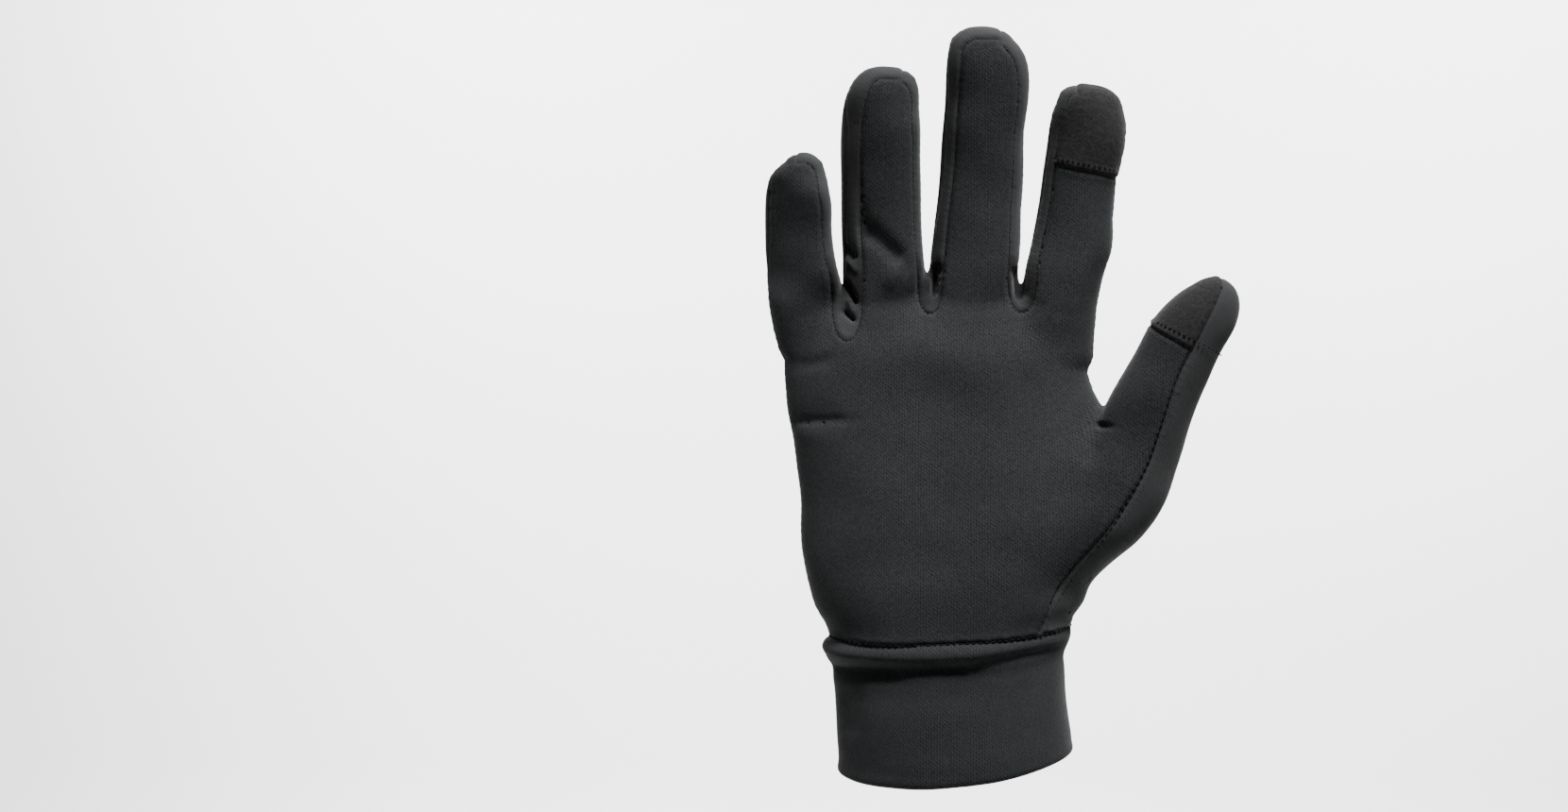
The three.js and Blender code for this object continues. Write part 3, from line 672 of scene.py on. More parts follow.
# Folds, dents and rises of the cloth in the front view: x and z of both ends, how deep (less than 0 is a
# rise), how wide, and fade is the share of the length over which each end dies away
folds = {
    "front": table("ax az bx bz depth wide fade", [
        (-54.0, 109.2, -30.0, 109.6, 0.85, 1.5, 0.6),    # crease across the heel of the hand
        (-52.0, 111.0, -34.0, 112.0, 0.45, 4.0, 0.5),
        (-52.0, 104.0, -34.0, 104.0, -0.3, 3.0, 0.5),
        (-50.0, 126.0, -36.0, 129.0, 0.6, 2.2, 0.6),
        (-28.5, 171.5, -15.0, 158.4, 1.9, 2.9, 0.4),     # hollow across the root of the ring finger
        (-22.0, 154.5, -17.0, 153.0, -0.9, 4.0, 0.5),
        (-31.4, 188.0, -28.0, 167.0, 1.3, 2.0, 0.5),
        (47.1, 109.0, 46.8, 106.4, 1.0, 2.7, 0.5),       # pit in the crotch of the thumb
        (46.0, 103.0, 40.0, 95.0, 0.6, 2.6, 0.7),
    ]),
    "strip": table("ax az bx bz depth wide fade", [
        (-35.2, 166.0, -30.4, 160.6, 1.5, 1.1, 0.4),
        (-34.6, 161.0, -30.0, 156.0, -0.7, 0.8, 0.3),
        (-34.2, 153.4, -30.2, 146.0, 2.2, 0.9, 0.3),
        (-34.8, 144.0, -30.6, 140.6, 1.3, 0.7, 0.3),
        (-33.6, 148.4, -31.2, 143.2, -0.8, 0.8, 0.3),
        (-4.6, 159.0, -6.6, 147.6, 1.8, 1.5, 0.3),
        (-7.8, 155.0, -7.4, 146.0, -0.7, 0.8, 0.3),
        (19.2, 158.0, 20.8, 147.0, 1.8, 1.5, 0.3),
    ]),
    "back": table("ax az bx bz depth wide fade", [
        (-36.0, 142.0, -22.0, 146.0, 0.5, 3.0, 0.5),
        (0.0, 146.0, 14.0, 147.0, 0.5, 3.0, 0.5),
        (26.0, 144.0, 36.0, 141.0, 0.5, 3.0, 0.5),
        (46.6, 112.0, 47.6, 106.0, 1.5, 2.2, 0.7),
    ]),
    "cuff": table("ax az bx bz depth wide fade", [
        (-40.0, 31.0, 8.0, 33.4, 2.0, 1.9, 0.3),      # the fold under the roll
        (-40.0, 30.4, -14.0, 30.8, 1.6, 2.4, 0.4),
        (2.0, 33.2, 34.0, 39.0, 1.0, 1.7, 0.4),
        (-40.0, 36.4, 10.0, 37.8, -0.6, 2.6, 0.2),    # the roll
        (6.0, 37.8, 38.0, 41.6, -0.45, 1.8, 0.2),
        (-33.4, 27.0, -31.4, 9.0, 0.8, 3.4, 0.5),
    ]),
}


foldEnd = 0.25  # share of a fold's depth that is left at its ends


def foldMap(rows):
    # each fold presses the cloth in by its depth times a bell curve of the distance to its line
    def work(x, z):
        total = np.zeros(len(x))
        for k in range(len(rows["ax"])):
            ends = [(rows["ax"][k], rows["az"][k]), (rows["bx"][k], rows["bz"][k])]
            away, at, run = toPath(ends, x, z)
            fade = rows["fade"][k] * run / 2 + 1e-6
            strength = smoothstep(0, fade, at) * smoothstep(0, fade, run - at)
            strength = foldEnd + (1 - foldEnd) * strength
            total -= rows["depth"][k] * strength * np.exp(-(away / rows["wide"][k]) ** 2)
        return total

    return PlaneMap(viewLow, viewHigh, steps["folds"], work)


def wavesMap(seed, count, longest, shortest, height):
    # low uneven waves of the cloth: a sum of slanted sines
    random = np.random.default_rng(seed)
    angle = random.uniform(0, math.pi, count)
    pitch = np.exp(random.uniform(math.log(shortest), math.log(longest), count))
    start = random.uniform(0, 2 * math.pi, count)

    def work(x, z):
        total = np.zeros(len(x))
        for k in range(count):
            run = x * math.cos(angle[k]) + z * math.sin(angle[k])
            total += np.sin(run * 2 * math.pi / pitch[k] + start[k]) * pitch[k] / longest
        return total * height / math.sqrt(count)

    return PlaneMap(viewLow, viewHigh, steps["waves"], work)


frontFolds = foldMap(folds["front"])
stripFolds = foldMap(folds["strip"])
backFolds = foldMap(folds["back"])
cuffFolds = foldMap(folds["cuff"])
frontWaves = wavesMap(seed=7, count=16, longest=46.0, shortest=11.0, height=0.42)
backWaves = wavesMap(seed=12, count=16, longest=52.0, shortest=14.0, height=0.38)
print("folds worked out")

# Small puckers beside the seams, drawn in by the thread at every stitch, and the low ridge along a seam
pucker = {
    "pitch": 2.3, "depth": 0.2, "reach": 1.8, "slant": (0.35, 0.94),
    "ridge": 0.24, "ridgeAway": 1.3, "ridgeWide": 0.8,
}
# Depths behind the parting over which the relief of one side gives way to that of the other
fades = {"waves": (-2.0, 2.0), "frontFolds": (-5.5, -2.0), "backFolds": (2.0, 5.0), "cuff": (-6.0, 6.0)}


def relief(p, back):
    # how far the cloth stands out from the plain form: the waves and folds of each side, faded towards
    # the other
    x, z = p[:, 0], p[:, 2]
    toBack = smoothstep(*fades["waves"], back)
    front = (frontWaves.read(x, z) + stripFolds.read(x, z)) * (1 - toBack)
    rear = backWaves.read(x, z) * toBack
    frontDents = frontFolds.read(x, z) * (1 - smoothstep(*fades["frontFolds"], back))
    backDents = backFolds.read(x, z) * smoothstep(*fades["backFolds"], back)
    return front + rear + frontDents + backDents


def seamRelief(p, away):
    # away is the distance to the nearest seam: a bell curve for the ridge beside it, less another whose
    # depth goes up and down with the sine of the way along
    along = p[:, 0] * pucker["slant"][0] + p[:, 2] * pucker["slant"][1]
    pull = np.sin(along * 2 * math.pi / pucker["pitch"])
    near = np.exp(-(away / pucker["reach"]) ** 2)
    ridge = np.exp(-((away - pucker["ridgeAway"]) / pucker["ridgeWide"]) ** 2)
    return pucker["ridge"] * ridge - pucker["depth"] * (0.5 + 0.5 * pull) * near


def wall(distance, outer, thickness):
    # a wall whose outer face stands at that distance from the form
    return np.abs(distance - outer + thickness / 2) - thickness / 2


def sewn(distance, cut, sink):
    # near its cut the cloth dips, by half of sink on the seam itself, so two pieces meet in a closed groove
    return distance + sink * smoothstep(-cloth["overlap"], cloth["overlap"], cut)


def seams(p, back):
    # signed distance to each cut of the hand's cloth: less than 0 inside a strip, a patch or the hand
    strip = {name: stripDistance(name, p, back) for name in strips["pairs"]}
    patch = {name: np.maximum(patchDistance(name, p), back) for name in patches}
    base = edgeHeight("seam", cuff["height"], p[:, 0], p[:, 1]) - p[:, 2]
    return strip, patch, base


def pieceDistance(name, p, hand):
    # signed distance to one piece of the hand: the cloth's wall, which dips beside its cut, within that cut
    back = behind(p)
    strip, patch, base = seams(p, back)
    allStrips = np.minimum.reduce(list(strip.values()))
    distance = hand - relief(p, back)
    outer, thickness = 0.0, cloth["thickness"]
    if name == "palm_panel":
        cut = np.maximum.reduce([back, -allStrips, -patch["index"], -patch["thumb"], base])
    elif name == "back_panel":
        cut = np.maximum.reduce([-back, -allStrips, base])
    elif name == "index_touch_tip":
        cut = np.maximum(patch["index"], -allStrips)
    elif name == "thumb_touch_tip":
        cut = patch["thumb"]
    else:
        cut = np.maximum(strip[name], base)
    if name.endswith("touch_tip"):
        outer, thickness = cloth["felt"] - cloth["thickness"], cloth["felt"]
    # the strips between the fingers are sewn with a finer and flatter seam than the rest
    nearFine = np.minimum(np.abs(allStrips), np.minimum(np.abs(patch["index"]), np.abs(patch["thumb"])))
    fine = np.exp(-(nearFine / cloth["fineReach"]) ** 2)
    distance = distance - seamRelief(p, np.abs(cut)) * (1 - cloth["fineRelief"] * fine)
    distance = sewn(distance, cut, cloth["sink"] - (cloth["sink"] - cloth["fineSink"]) * fine)
    for patchName, edge in patch.items():
        lip = np.exp(-((edge + hem["above"]) / hem["wide"]) ** 2) * (name == patchName + "_touch_tip")
        distance = distance - hem["height"] * lip
    return smoothMax(wall(distance, outer, thickness), cut - cloth["overlap"], cloth["edgeRound"])


def cuffDistance(p):
    # distance to the cuff's cloth, doubled by the fold round the mouth: the wall of a tube, cut at both
    # edges. Its waves are those of the palm read turned and moved
    x, y, z = p[:, 0], p[:, 1], p[:, 2]
    low = edgeHeight("mouth", 0, x, y)
    high = edgeHeight("seam", cuff["height"], x, y)
    up = (z - low) / (high - low)
    row = cuffSample(up)
    across = x - cuff["centreX"] - row["aside"] * cuff["width"]
    none = np.zeros_like(up)
    form = tubeDistance(across, y, row["wide"] * cuff["width"] / 2, row["deep"] * cuff["depth"] / 2,
                        cuff["power"], none, 1.0, 2.0)
    toBack = smoothstep(*fades["cuff"], y)
    form = form - cuff["swell"] - cuffFolds.read(x, z) * (1 - toBack)
    form = form - cuff["waves"] * frontWaves.read(z + 30, x + 60)
    form = sewn(form - seamRelief(p, np.abs(high - z)), z - high, cloth["sink"])
    shell = wall(form, 0.0, cuff["thickness"])
    folded = smoothMax(shell, low - z, cuff["mouthRound"])
    return smoothMax(folded, z - high - cloth["overlap"], cloth["edgeRound"])


def cellGrid(low, high):
    # how many corners of cells lie between two places each way, and where along each axis
    cell = cloth["cell"]
    count = np.ceil((np.array(high) - low) / cell).astype(int) + 1
    axes = [low[k] + cell * np.arange(count[k]) for k in range(3)]
    return count, axes


def surfaceNet(values, axes):
    # one point in each cell that the surface crosses, at the mean of its crossings, and a face round each
    # edge that it crosses
    inside = values < 0
    whole = [slice(0, -1), slice(1, None)]
    corners = [inside[i, j, k] for i in whole for j in whole for k in whole]
    total = np.sum([c.astype(np.int8) for c in corners], axis=0)
    active = (total > 0) & (total < 8)
    cells = np.argwhere(active)
    number = np.full(active.shape, -1, dtype=np.int64)
    number[active] = np.arange(len(cells))
    place = np.zeros((len(cells), 3))
    hits = np.zeros(len(cells))
    for axis in range(3):
        others = [k for k in range(3) if k != axis]
        for a in (0, 1):
            for b in (0, 1):
                start = cells.copy()
                start[:, others[0]] += a
                start[:, others[1]] += b
                end = start.copy()
                end[:, axis] += 1
                first, last = values[tuple(start.T)], values[tuple(end.T)]
                crossed = (first < 0) != (last < 0)
                t = np.where(crossed, first / np.where(crossed, first - last, 1), 0)
                spot = (start - cells).astype(float)
                spot[:, axis] += t
                place += spot * crossed[:, None]
                hits += crossed
    origin = np.array([axis[0] for axis in axes])
    points = origin + cloth["cell"] * (cells + place / hits[:, None])
    faces = []
    for axis in range(3):
        u, v = (axis + 1) % 3, (axis + 2) % 3
        first = [slice(1, -1)] * 3
        last = [slice(1, -1)] * 3
        first[axis], last[axis] = slice(0, -1), slice(1, None)
        crossed = np.argwhere(inside[tuple(first)] != inside[tuple(last)])
        crossed[:, u] += 1
        crossed[:, v] += 1
        around = []
        for du, dv in ((-1, -1), (0, -1), (0, 0), (-1, 0)):
            cell = crossed.copy()
            cell[:, u] += du
            cell[:, v] += dv
            around.append(number[tuple(cell.T)])
        quads = np.stack(around, axis=1)
        outward = inside[tuple(crossed.T)]
        quads[~outward] = quads[~outward][:, ::-1]
        faces.append(quads)
    return points, np.concatenate(faces)


def settle(points, distance, rounds=3):
    # moves each point along the slope of the distance onto the surface: by the distance over the slope's
    # length, and never by more than a share of a cell
    reach, flattest, farthest = 0.05, 0.2, 0.6
    for _ in range(rounds):
        value = distance(points)
        slope = np.stack([
            (distance(points + reach * np.eye(3)[k]) - value) / reach for k in range(3)
        ], axis=1)
        size = np.maximum((slope ** 2).sum(axis=1), flattest)
        move = -value[:, None] * slope / size[:, None]
        far = np.linalg.norm(move, axis=1)
        limit = cloth["cell"] * farthest
        points = points + move * np.minimum(1, limit / np.maximum(far, 1e-9))[:, None]
    return points


# How the ribs run on round a side: mix of two tubes that are near, share of the depth that counts, and how
# near the middle line it starts
wrap = {"mix": 2.5, "share": 0.6, "middle": 2.0, "cuffShare": 0.8, "cuffMiddle": 4.0}


def knitPlace(p):
    # place in the knitted cloth: u across its ribs and v along them. Round the sides u goes on with the
    # depth
    tubes = [(palmDistance(p), palmPlace(p))]
    tubes += [(fingerDistance(f, p), fingerPlace(f, p)) for f in fingers.values()]
    nearest = np.stack([d for d, _ in tubes], axis=1)
    weight = np.exp(-(nearest - nearest.min(axis=1)[:, None]) / wrap["mix"])
    weight /= weight.sum(axis=1)[:, None]
    u = p[:, 0].copy()
    # between two tubes, as in a crotch, the share fades, or the ribs would crowd there
    clear = np.clip(2 * weight.max(axis=1) - 1, 0, 1) * wrap["share"]
    for k, (_, (_, across, ahead, _, halfDepth)) in enumerate(tubes):
        inward = halfDepth - np.minimum(np.abs(ahead), halfDepth)
        u += clear * weight[:, k] * np.tanh(across / wrap["middle"]) * inward
    return u, p[:, 2]


def cuffKnitPlace(p):
    # the same on the cuff
    half = cuff["depth"] / 2
    inward = half - np.minimum(np.abs(p[:, 1]), half)
    u = p[:, 0] + np.tanh(p[:, 0] / wrap["cuffMiddle"]) * wrap["cuffShare"] * inward
    return u, p[:, 2]


def meshPiece(name, points, faces, place, material):
    # a smooth mesh of the points, brought from millimetres to metres, with their place in the knit as its
    # UV map
    mesh = bpy.data.meshes.new(name)
    mesh.vertices.add(len(points))
    mesh.vertices.foreach_set("co", (points * mm).astype(np.float32).ravel())
    mesh.loops.add(faces.size)
    mesh.loops.foreach_set("vertex_index", faces.astype(np.int32).ravel())
    mesh.polygons.add(len(faces))
    starts = np.arange(0, faces.size, faces.shape[1], dtype=np.int32)
    mesh.polygons.foreach_set("loop_start", starts)
    mesh.update(calc_edges=True)
    mesh.polygons.foreach_set("use_smooth", np.ones(len(faces), dtype=bool))
    layer = mesh.uv_layers.new(name="knit")
    u, v = place
    loops = faces.ravel()
    layer.data.foreach_set("uv", np.stack([u[loops], v[loops]], axis=1).astype(np.float32).ravel() * mm)
    mesh.materials.append(material)
    mesh.validate()
    piece = bpy.data.objects.new(name, mesh)
    bpy.context.collection.objects.link(piece)
    return piece


class Socket:
    # a node's output that takes part in sums: each operator adds a Math node
    def __init__(self, tree, link):
        self.tree, self.link = tree, link

    def math(self, operation, *others):
        # a Math node of that operation on this output and the others
        node = self.tree.nodes.new("ShaderNodeMath")
        node.operation = operation
        for slot, value in zip(node.inputs, (self,) + others):
            if isinstance(value, Socket):
                self.tree.links.new(value.link, slot)
            else:
                slot.default_value = value
        return Socket(self.tree, node.outputs[0])

    def __add__(self, other):
        return self.math("ADD", other)

    def __mul__(self, other):
        return self.math("MULTIPLY", other)

    def __sub__(self, other):
        return self.math("SUBTRACT", other)

    def __rsub__(self, other):
        return (self * -1.0) + other

    def __truediv__(self, other):
        return self.math("DIVIDE", other)

    __radd__ = __add__
    __rmul__ = __mul__

    def sine(self):
        return self.math("SINE")

    def clamp(self):
        node = self.tree.nodes.new("ShaderNodeClamp")
        self.tree.links.new(self.link, node.inputs[0])
        return Socket(self.tree, node.outputs[0])


class Fabric:
    # a material with its shader, and one method that adds any other node
    def __init__(self, name, settings):
        self.material = bpy.data.materials.new(name)
        self.material.use_nodes = True
        self.tree = self.material.node_tree
        self.shader = self.tree.nodes["Principled BSDF"]
        self.shader.inputs["Roughness"].default_value = settings["roughness"]
        self.shader.inputs["Sheen Weight"].default_value = settings["sheen"]
        self.shader.inputs["Sheen Roughness"].default_value = settings["sheenRoughness"]
        self.shader.inputs["Specular IOR Level"].default_value = shine

    def node(self, kind, output, settings, **sockets):
        # a node of that type: its settings first, then values or links of its sockets, by name or as i and
        # a number
        made = self.tree.nodes.new(kind)
        for key, value in settings.items():
            setattr(made, key, value)
        for key, value in sockets.items():
            slot = made.inputs[int(key[1:])] if key[0] == "i" and key[1:].isdigit() else made.inputs[key]
            if isinstance(value, Socket):
                self.tree.links.new(value.link, slot)
            else:
                slot.default_value = value
        return Socket(self.tree, made.outputs[output])

    def objectPlace(self):
        return self.node("ShaderNodeTexCoord", 3, {})

    def mixColours(self, factor, first, second):
        # the first colour where factor is 0, the second where it is 1
        return self.node("ShaderNodeMix", 2, {"data_type": "RGBA"}, i0=factor, i6=first, i7=second)

    def feed(self, name, socket):
        self.tree.links.new(socket.link, self.shader.inputs[name])


# The knit of every panel, in millimetres: width of a rib, length of a loop, and the turns for each
# millimetre that the slanted lines make across and up. The weights say how much each counts, and the
# drifts how far noise moves them
knit = {
    "rib": 0.86, "loop": 0.95, "slant": (0.62, 0.8),
    "ribWeight": 0.45, "loopWeight": 0.2, "lineWeight": 0.35,
    "driftScale": 260.0, "drift": 2.0, "lineDrift": 3.0, "patchScale": 34.0, "bumpDistance": 0.0004,
}
felt = {
    "pileScale": 1500.0, "tuftScale": 950.0, "pileTone": 0.9, "tuftTone": 0.4, "darker": 0.18,
    "pileHeight": 0.8, "tuftHeight": 0.5, "bumpDistance": 0.0005,
}


def wave(phase):
    # the sine of a phase, brought between 0 and 1
    return phase.sine() * 0.5 + 0.5


def knitFabric(name, settings):
    # fine ribs along the cloth, slanted lines across them, and a brushed nap: waves of the knit's own
    # place, moved by noise. The tone is the sum of weave, nap and patches less half their weights, round
    # 0.5
    fabric = Fabric(name, settings)
    uv = fabric.node("ShaderNodeUVMap", 0, {"uv_map": "knit"})
    u = fabric.node("ShaderNodeSeparateXYZ", 0, {}, Vector=uv)
    v = fabric.node("ShaderNodeSeparateXYZ", 1, {}, Vector=uv)
    place = fabric.objectPlace()
    turn = 2 * math.pi / mm
    noise = "ShaderNodeTexNoise"
    drift = fabric.node(noise, 0, {}, Vector=place, Scale=knit["driftScale"], Detail=2.0)
    ribs = wave(u * (turn / knit["rib"]) + drift * knit["drift"])
    loops = wave(v * (turn / knit["loop"]) + u * (turn / knit["rib"] / 2) + drift * knit["drift"])
    slant = knit["slant"]
    lines = wave(u * (turn * slant[0]) + v * (turn * slant[1]) + drift * knit["lineDrift"])
    nap = fabric.node(noise, 0, {}, Vector=place, Scale=settings["napScale"], Detail=4.0, Roughness=0.7)
    patch = fabric.node(noise, 0, {}, Vector=place, Scale=knit["patchScale"], Detail=3.0, Roughness=0.6)
    weave = ribs * knit["ribWeight"] + loops * knit["loopWeight"] + lines * knit["lineWeight"]
    middle = 0.5 - 0.5 * (settings["weaveTone"] + settings["napTone"] + settings["patchTone"])
    tone = weave * settings["weaveTone"] + nap * settings["napTone"] + patch * settings["patchTone"]
    tone = (tone + middle).clamp()
    colour = fabric.mixColours(tone, settings["dark"] + (1.0,), settings["light"] + (1.0,))
    if "pocketPaintedShade" in settings:
        # painted shade: the cloth is darkened at the height of the pockets between the fingers, where shade
        # falls:
        # 1 less the square of the share of the way up or down from there
        upwards = (v - settings["pocketHeight"] * mm) / (settings["pocketHalf"] * mm)
        pocketShade = (1.0 - upwards * upwards).clamp() * settings["pocketShadeShare"]
        colour = fabric.mixColours(pocketShade, colour, settings["pocketPaintedShade"] + (1.0,))
    fabric.feed("Base Color", colour)
    height = weave * settings["weaveHeight"] + nap * settings["napHeight"]
    bump = fabric.node("ShaderNodeBump", 0, {}, Strength=settings["bump"], Distance=knit["bumpDistance"],
                       Height=height)
    fabric.feed("Normal", bump)
    return fabric.material


def feltFabric(name, settings):
    # short matted pile without ribs: fine noise and tufts, both in the tone and in the height
    fabric = Fabric(name, settings)
    place = fabric.objectPlace()
    pile = fabric.node("ShaderNodeTexNoise", 0, {}, Vector=place, Scale=felt["pileScale"], Detail=4.0,
                       Roughness=0.75)
    tufts = fabric.node("ShaderNodeTexVoronoi", 0, {}, Vector=place, Scale=felt["tuftScale"])
    tone = (pile * felt["pileTone"] + tufts * felt["tuftTone"] - felt["darker"]).clamp()
    colour = fabric.mixColours(tone, settings["dark"] + (1.0,), settings["light"] + (1.0,))
    fabric.feed("Base Color", colour)
    bump = fabric.node("ShaderNodeBump", 0, {}, Strength=settings["bump"], Distance=felt["bumpDistance"],
                       Height=pile * felt["pileHeight"] + tufts * felt["tuftHeight"])
    fabric.feed("Normal", bump)
    return fabric.material


shine = 0.05  # cloth hardly mirrors anything
fabrics = {
    "palm": {
        "roughness": 0.9, "sheen": 0.03, "sheenRoughness": 0.5,
        "dark": (0.0033, 0.0036, 0.0039), "light": (0.0178, 0.0191, 0.0202),
        "napScale": 1500.0, "weaveTone": 0.5, "napTone": 1.8, "patchTone": 0.4,
        "weaveHeight": 0.35, "napHeight": 0.9, "bump": 0.5,
    },
    "back": {
        "roughness": 0.88, "sheen": 0.04, "sheenRoughness": 0.5,
        "dark": (0.0085, 0.0089, 0.0093), "light": (0.0235, 0.0245, 0.0254),
        "napScale": 1800.0, "weaveTone": 0.5, "napTone": 0.5, "patchTone": 0.3,
        "weaveHeight": 0.5, "napHeight": 0.35, "bump": 0.35,
    },
    "felt": {
        "roughness": 0.94, "sheen": 0.04, "sheenRoughness": 0.5,
        "dark": (0.003, 0.003, 0.003), "light": (0.0175, 0.0176, 0.0178), "bump": 0.6,
    },
    "thread": {
        "roughness": 0.7, "sheen": 0.02, "sheenRoughness": 0.4,
        "dark": (0.001, 0.001, 0.001), "light": (0.004, 0.004, 0.004), "bump": 0.3,
    },
    "paper": {"roughness": 0.9, "sheen": 0.0, "sheenRoughness": 0.5},
}
# The cuff's cloth is the palm's with another nap, and the strips' is the back's with painted shade in the
# pockets between the fingers
fabrics["cuff"] = dict(fabrics["palm"], napScale=1600.0, weaveTone=0.6, napTone=1.4, patchTone=0.35,
                       weaveHeight=0.4, napHeight=0.7, bump=0.45)
fabrics["strip"] = dict(fabrics["back"], pocketHeight=152.0, pocketHalf=10.0, pocketShadeShare=0.85,
                        pocketPaintedShade=(0.0028, 0.003, 0.0032))
palmKnit = knitFabric("palm_knit", fabrics["palm"])
backKnit = knitFabric("back_knit", fabrics["back"])
# the strips' cloth, with painted shade darkening it in the pockets between the fingers
stripKnitPaintedShade = knitFabric("strip_knit_painted_shade", fabrics["strip"])
cuffKnit = knitFabric("cuff_knit", fabrics["cuff"])
touchFelt = feltFabric("touch_felt", fabrics["felt"])
blackThread = feltFabric("black_thread", fabrics["thread"])
print("fabrics made")

# The hand's cloth, piece by piece
handPieces = {
    "palm_panel": (palmKnit, "knit_palm"),
    "back_panel": (backKnit, "knit_back"),
    "fourchette_little_ring": (stripKnitPaintedShade, "knit_back"),
    "fourchette_ring_middle": (stripKnitPaintedShade, "knit_back"),
    "fourchette_middle_index": (stripKnitPaintedShade, "knit_back"),
    "index_touch_tip": (touchFelt, "touch_felt"),
    "thumb_touch_tip": (touchFelt, "touch_felt"),
}


def makeHand():
    # the seven pieces of the hand: each one's distance on the same grid, drawn as a net and settled onto
    # its surface
    margin, belowSeam, parts, outside = 6.0, 12.0, 24, 5.0
    low = np.array([cadBox[0][k] / mm - margin for k in range(3)])
    high = np.array([cadBox[1][k] / mm + margin for k in range(3)])
    low[2] = cuff["height"] - belowSeam
    count, axes = cellGrid(low, high)
    grid = np.stack(np.meshgrid(*axes, indexing="ij"), axis=-1).reshape(-1, 3)
    hand = np.concatenate([handDistance(part) for part in np.array_split(grid, parts)])
    close = np.abs(hand) < cloth["band"]
    points, distances = grid[close], hand[close]
    print("hand form on", len(grid), "points,", len(points), "of them near the cloth")
    for name, (material, slot) in handPieces.items():
        values = np.full(len(grid), outside)
        values[close] = pieceDistance(name, points, distances)
        net, faces = surfaceNet(values.reshape(count), axes)
        net = settle(net, lambda p: pieceDistance(name, p, handDistance(p)))
        piece = meshPiece(name + "_cloth", net, faces, knitPlace(net), material)
        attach(piece, "root")
        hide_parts(name)
        print(name, 2 * len(faces), "triangles")


def makeCuff():
    # the cuff, drawn and settled in the same way on its own grid
    margin, lowest, parts = 8, -14.0, 8
    half = cuff["width"] / 2 + margin
    deep = cuff["depth"] / 2 + margin
    low = np.array([cuff["centreX"] - half, -deep, lowest])
    high = np.array([cuff["centreX"] + half, deep, cuff["height"] + margin])
    count, axes = cellGrid(low, high)
    grid = np.stack(np.meshgrid(*axes, indexing="ij"), axis=-1).reshape(-1, 3)
    values = np.concatenate([cuffDistance(part) for part in np.array_split(grid, parts)])
    net, faces = surfaceNet(values.reshape(count), axes)
    net = settle(net, cuffDistance)
    piece = meshPiece("cuff_cloth", net, faces, cuffKnitPlace(net), cuffKnit)
    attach(piece, "root")
    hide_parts("cuff")
    print("cuff", 2 * len(faces), "triangles")


# Thread of the seams: sunk is how far its middle lies under the plain cloth, in the groove of the seam.
# around and rings are the corners of one stitch, and search the depths through which its place on the
# cloth is looked for
stitches = {
    "thumb": {"pitch": 2.3, "length": 1.45, "radius": 0.34, "sunk": 0.12},
    "cuff": {"pitch": 2.0, "length": 1.25, "radius": 0.3, "sunk": 0.15},
    "strip": {"pitch": 1.4, "length": 0.75, "radius": 0.14, "sunk": 0.2},
    "patch": {"pitch": 1.6, "length": 0.8, "radius": 0.27, "sunk": -0.56, "above": 1.3},
    "around": 6,
    "rings": 5,
    "search": (-34, 32, 133),
    "edgeShare": 0.46,
}


def plainCloth(p):
    # distance to the outer face of the hand's cloth
    return handDistance(p) - relief(p, behind(p))


def ontoCloth(path, fromBack):
    # from places in the front view to the hand's cloth: the first of many points through its depth that
    # lies inside, settled onto the surface
    depth = np.linspace(*stitches["search"])
    if fromBack:
        depth = depth[::-1]
    path = np.array(path)
    count = len(depth)
    across, upwards = np.repeat(path, count, axis=0).T
    lines = np.stack([across, np.tile(depth, len(path)), upwards], axis=1)
    inside = handDistance(lines).reshape(len(path), count) < 0
    found = inside.any(axis=1)
    y = depth[inside.argmax(axis=1)]
    points = np.stack([path[:, 0], y, path[:, 1]], axis=1)[found]
    return settle(points, plainCloth)


def evenSteps(points, pitch):
    # a place for every stitch along a path in space, at equal steps of its length, and the path's
    # direction there
    run = np.concatenate([[0], np.cumsum(np.linalg.norm(np.diff(points, axis=0), axis=1))])
    count = max(int(run[-1] / pitch), 1)
    at = (np.arange(count) + 0.5) * run[-1] / count

    def read(where):
        return np.stack([np.interp(where, run, points[:, k]) for k in range(3)], axis=1)

    ahead = read(at + pitch / 3) - read(at - pitch / 3)
    return read(at), ahead


def slopeOf(distance, p):
    # the slope of a distance over a short step each way, brought to length 1
    step = 0.1
    slope = np.stack([distance(p + step * axis) - distance(p - step * axis) for axis in np.eye(3)], axis=1)
    return slope / np.maximum(np.linalg.norm(slope, axis=1), 1e-9)[:, None]


def threadStitches(places, ahead, outward, form):
    # one short rounded thread at each place: rings across its length, a point at each end, and triangles
    # between
    ahead = ahead - (ahead * outward).sum(axis=1)[:, None] * outward
    ahead = ahead / np.maximum(np.linalg.norm(ahead, axis=1), 1e-9)[:, None]
    sideways = np.cross(ahead, outward)
    around, rings = stitches["around"], stitches["rings"]
    lift = np.linspace(-math.pi / 2, math.pi / 2, rings + 2)[1:-1]
    turn = np.arange(around) * 2 * math.pi / around
    along = np.repeat(np.sin(lift) * form["length"] / 2, around)
    radius = np.repeat(np.cos(lift) ** 0.5 * form["radius"], around)
    up = np.tile(np.cos(turn), rings) * radius
    across = np.tile(np.sin(turn), rings) * radius
    along = np.concatenate([along, [-form["length"] / 2, form["length"] / 2]])
    up, across = np.concatenate([up, [0, 0]]), np.concatenate([across, [0, 0]])
    middle = places - outward * form["sunk"]
    points = (middle[:, None] + along[None, :, None] * ahead[:, None] + up[None, :, None] * outward[:, None]
              + across[None, :, None] * sideways[:, None])
    faces = []
    last = rings * around
    for j in range(around):
        k = (j + 1) % around
        faces.append((last, k, j))
        faces.append((last + 1, last - around + j, last - around + k))
        for ring in range(rings - 1):
            low, high = ring * around, (ring + 1) * around
            faces.append((low + j, low + k, high + k))
            faces.append((low + j, high + k, high + j))
    size = last + 2
    every = np.array(faces)[None] + np.arange(len(places))[:, None, None] * size
    return points.reshape(-1, 3), every.reshape(-1, 3)


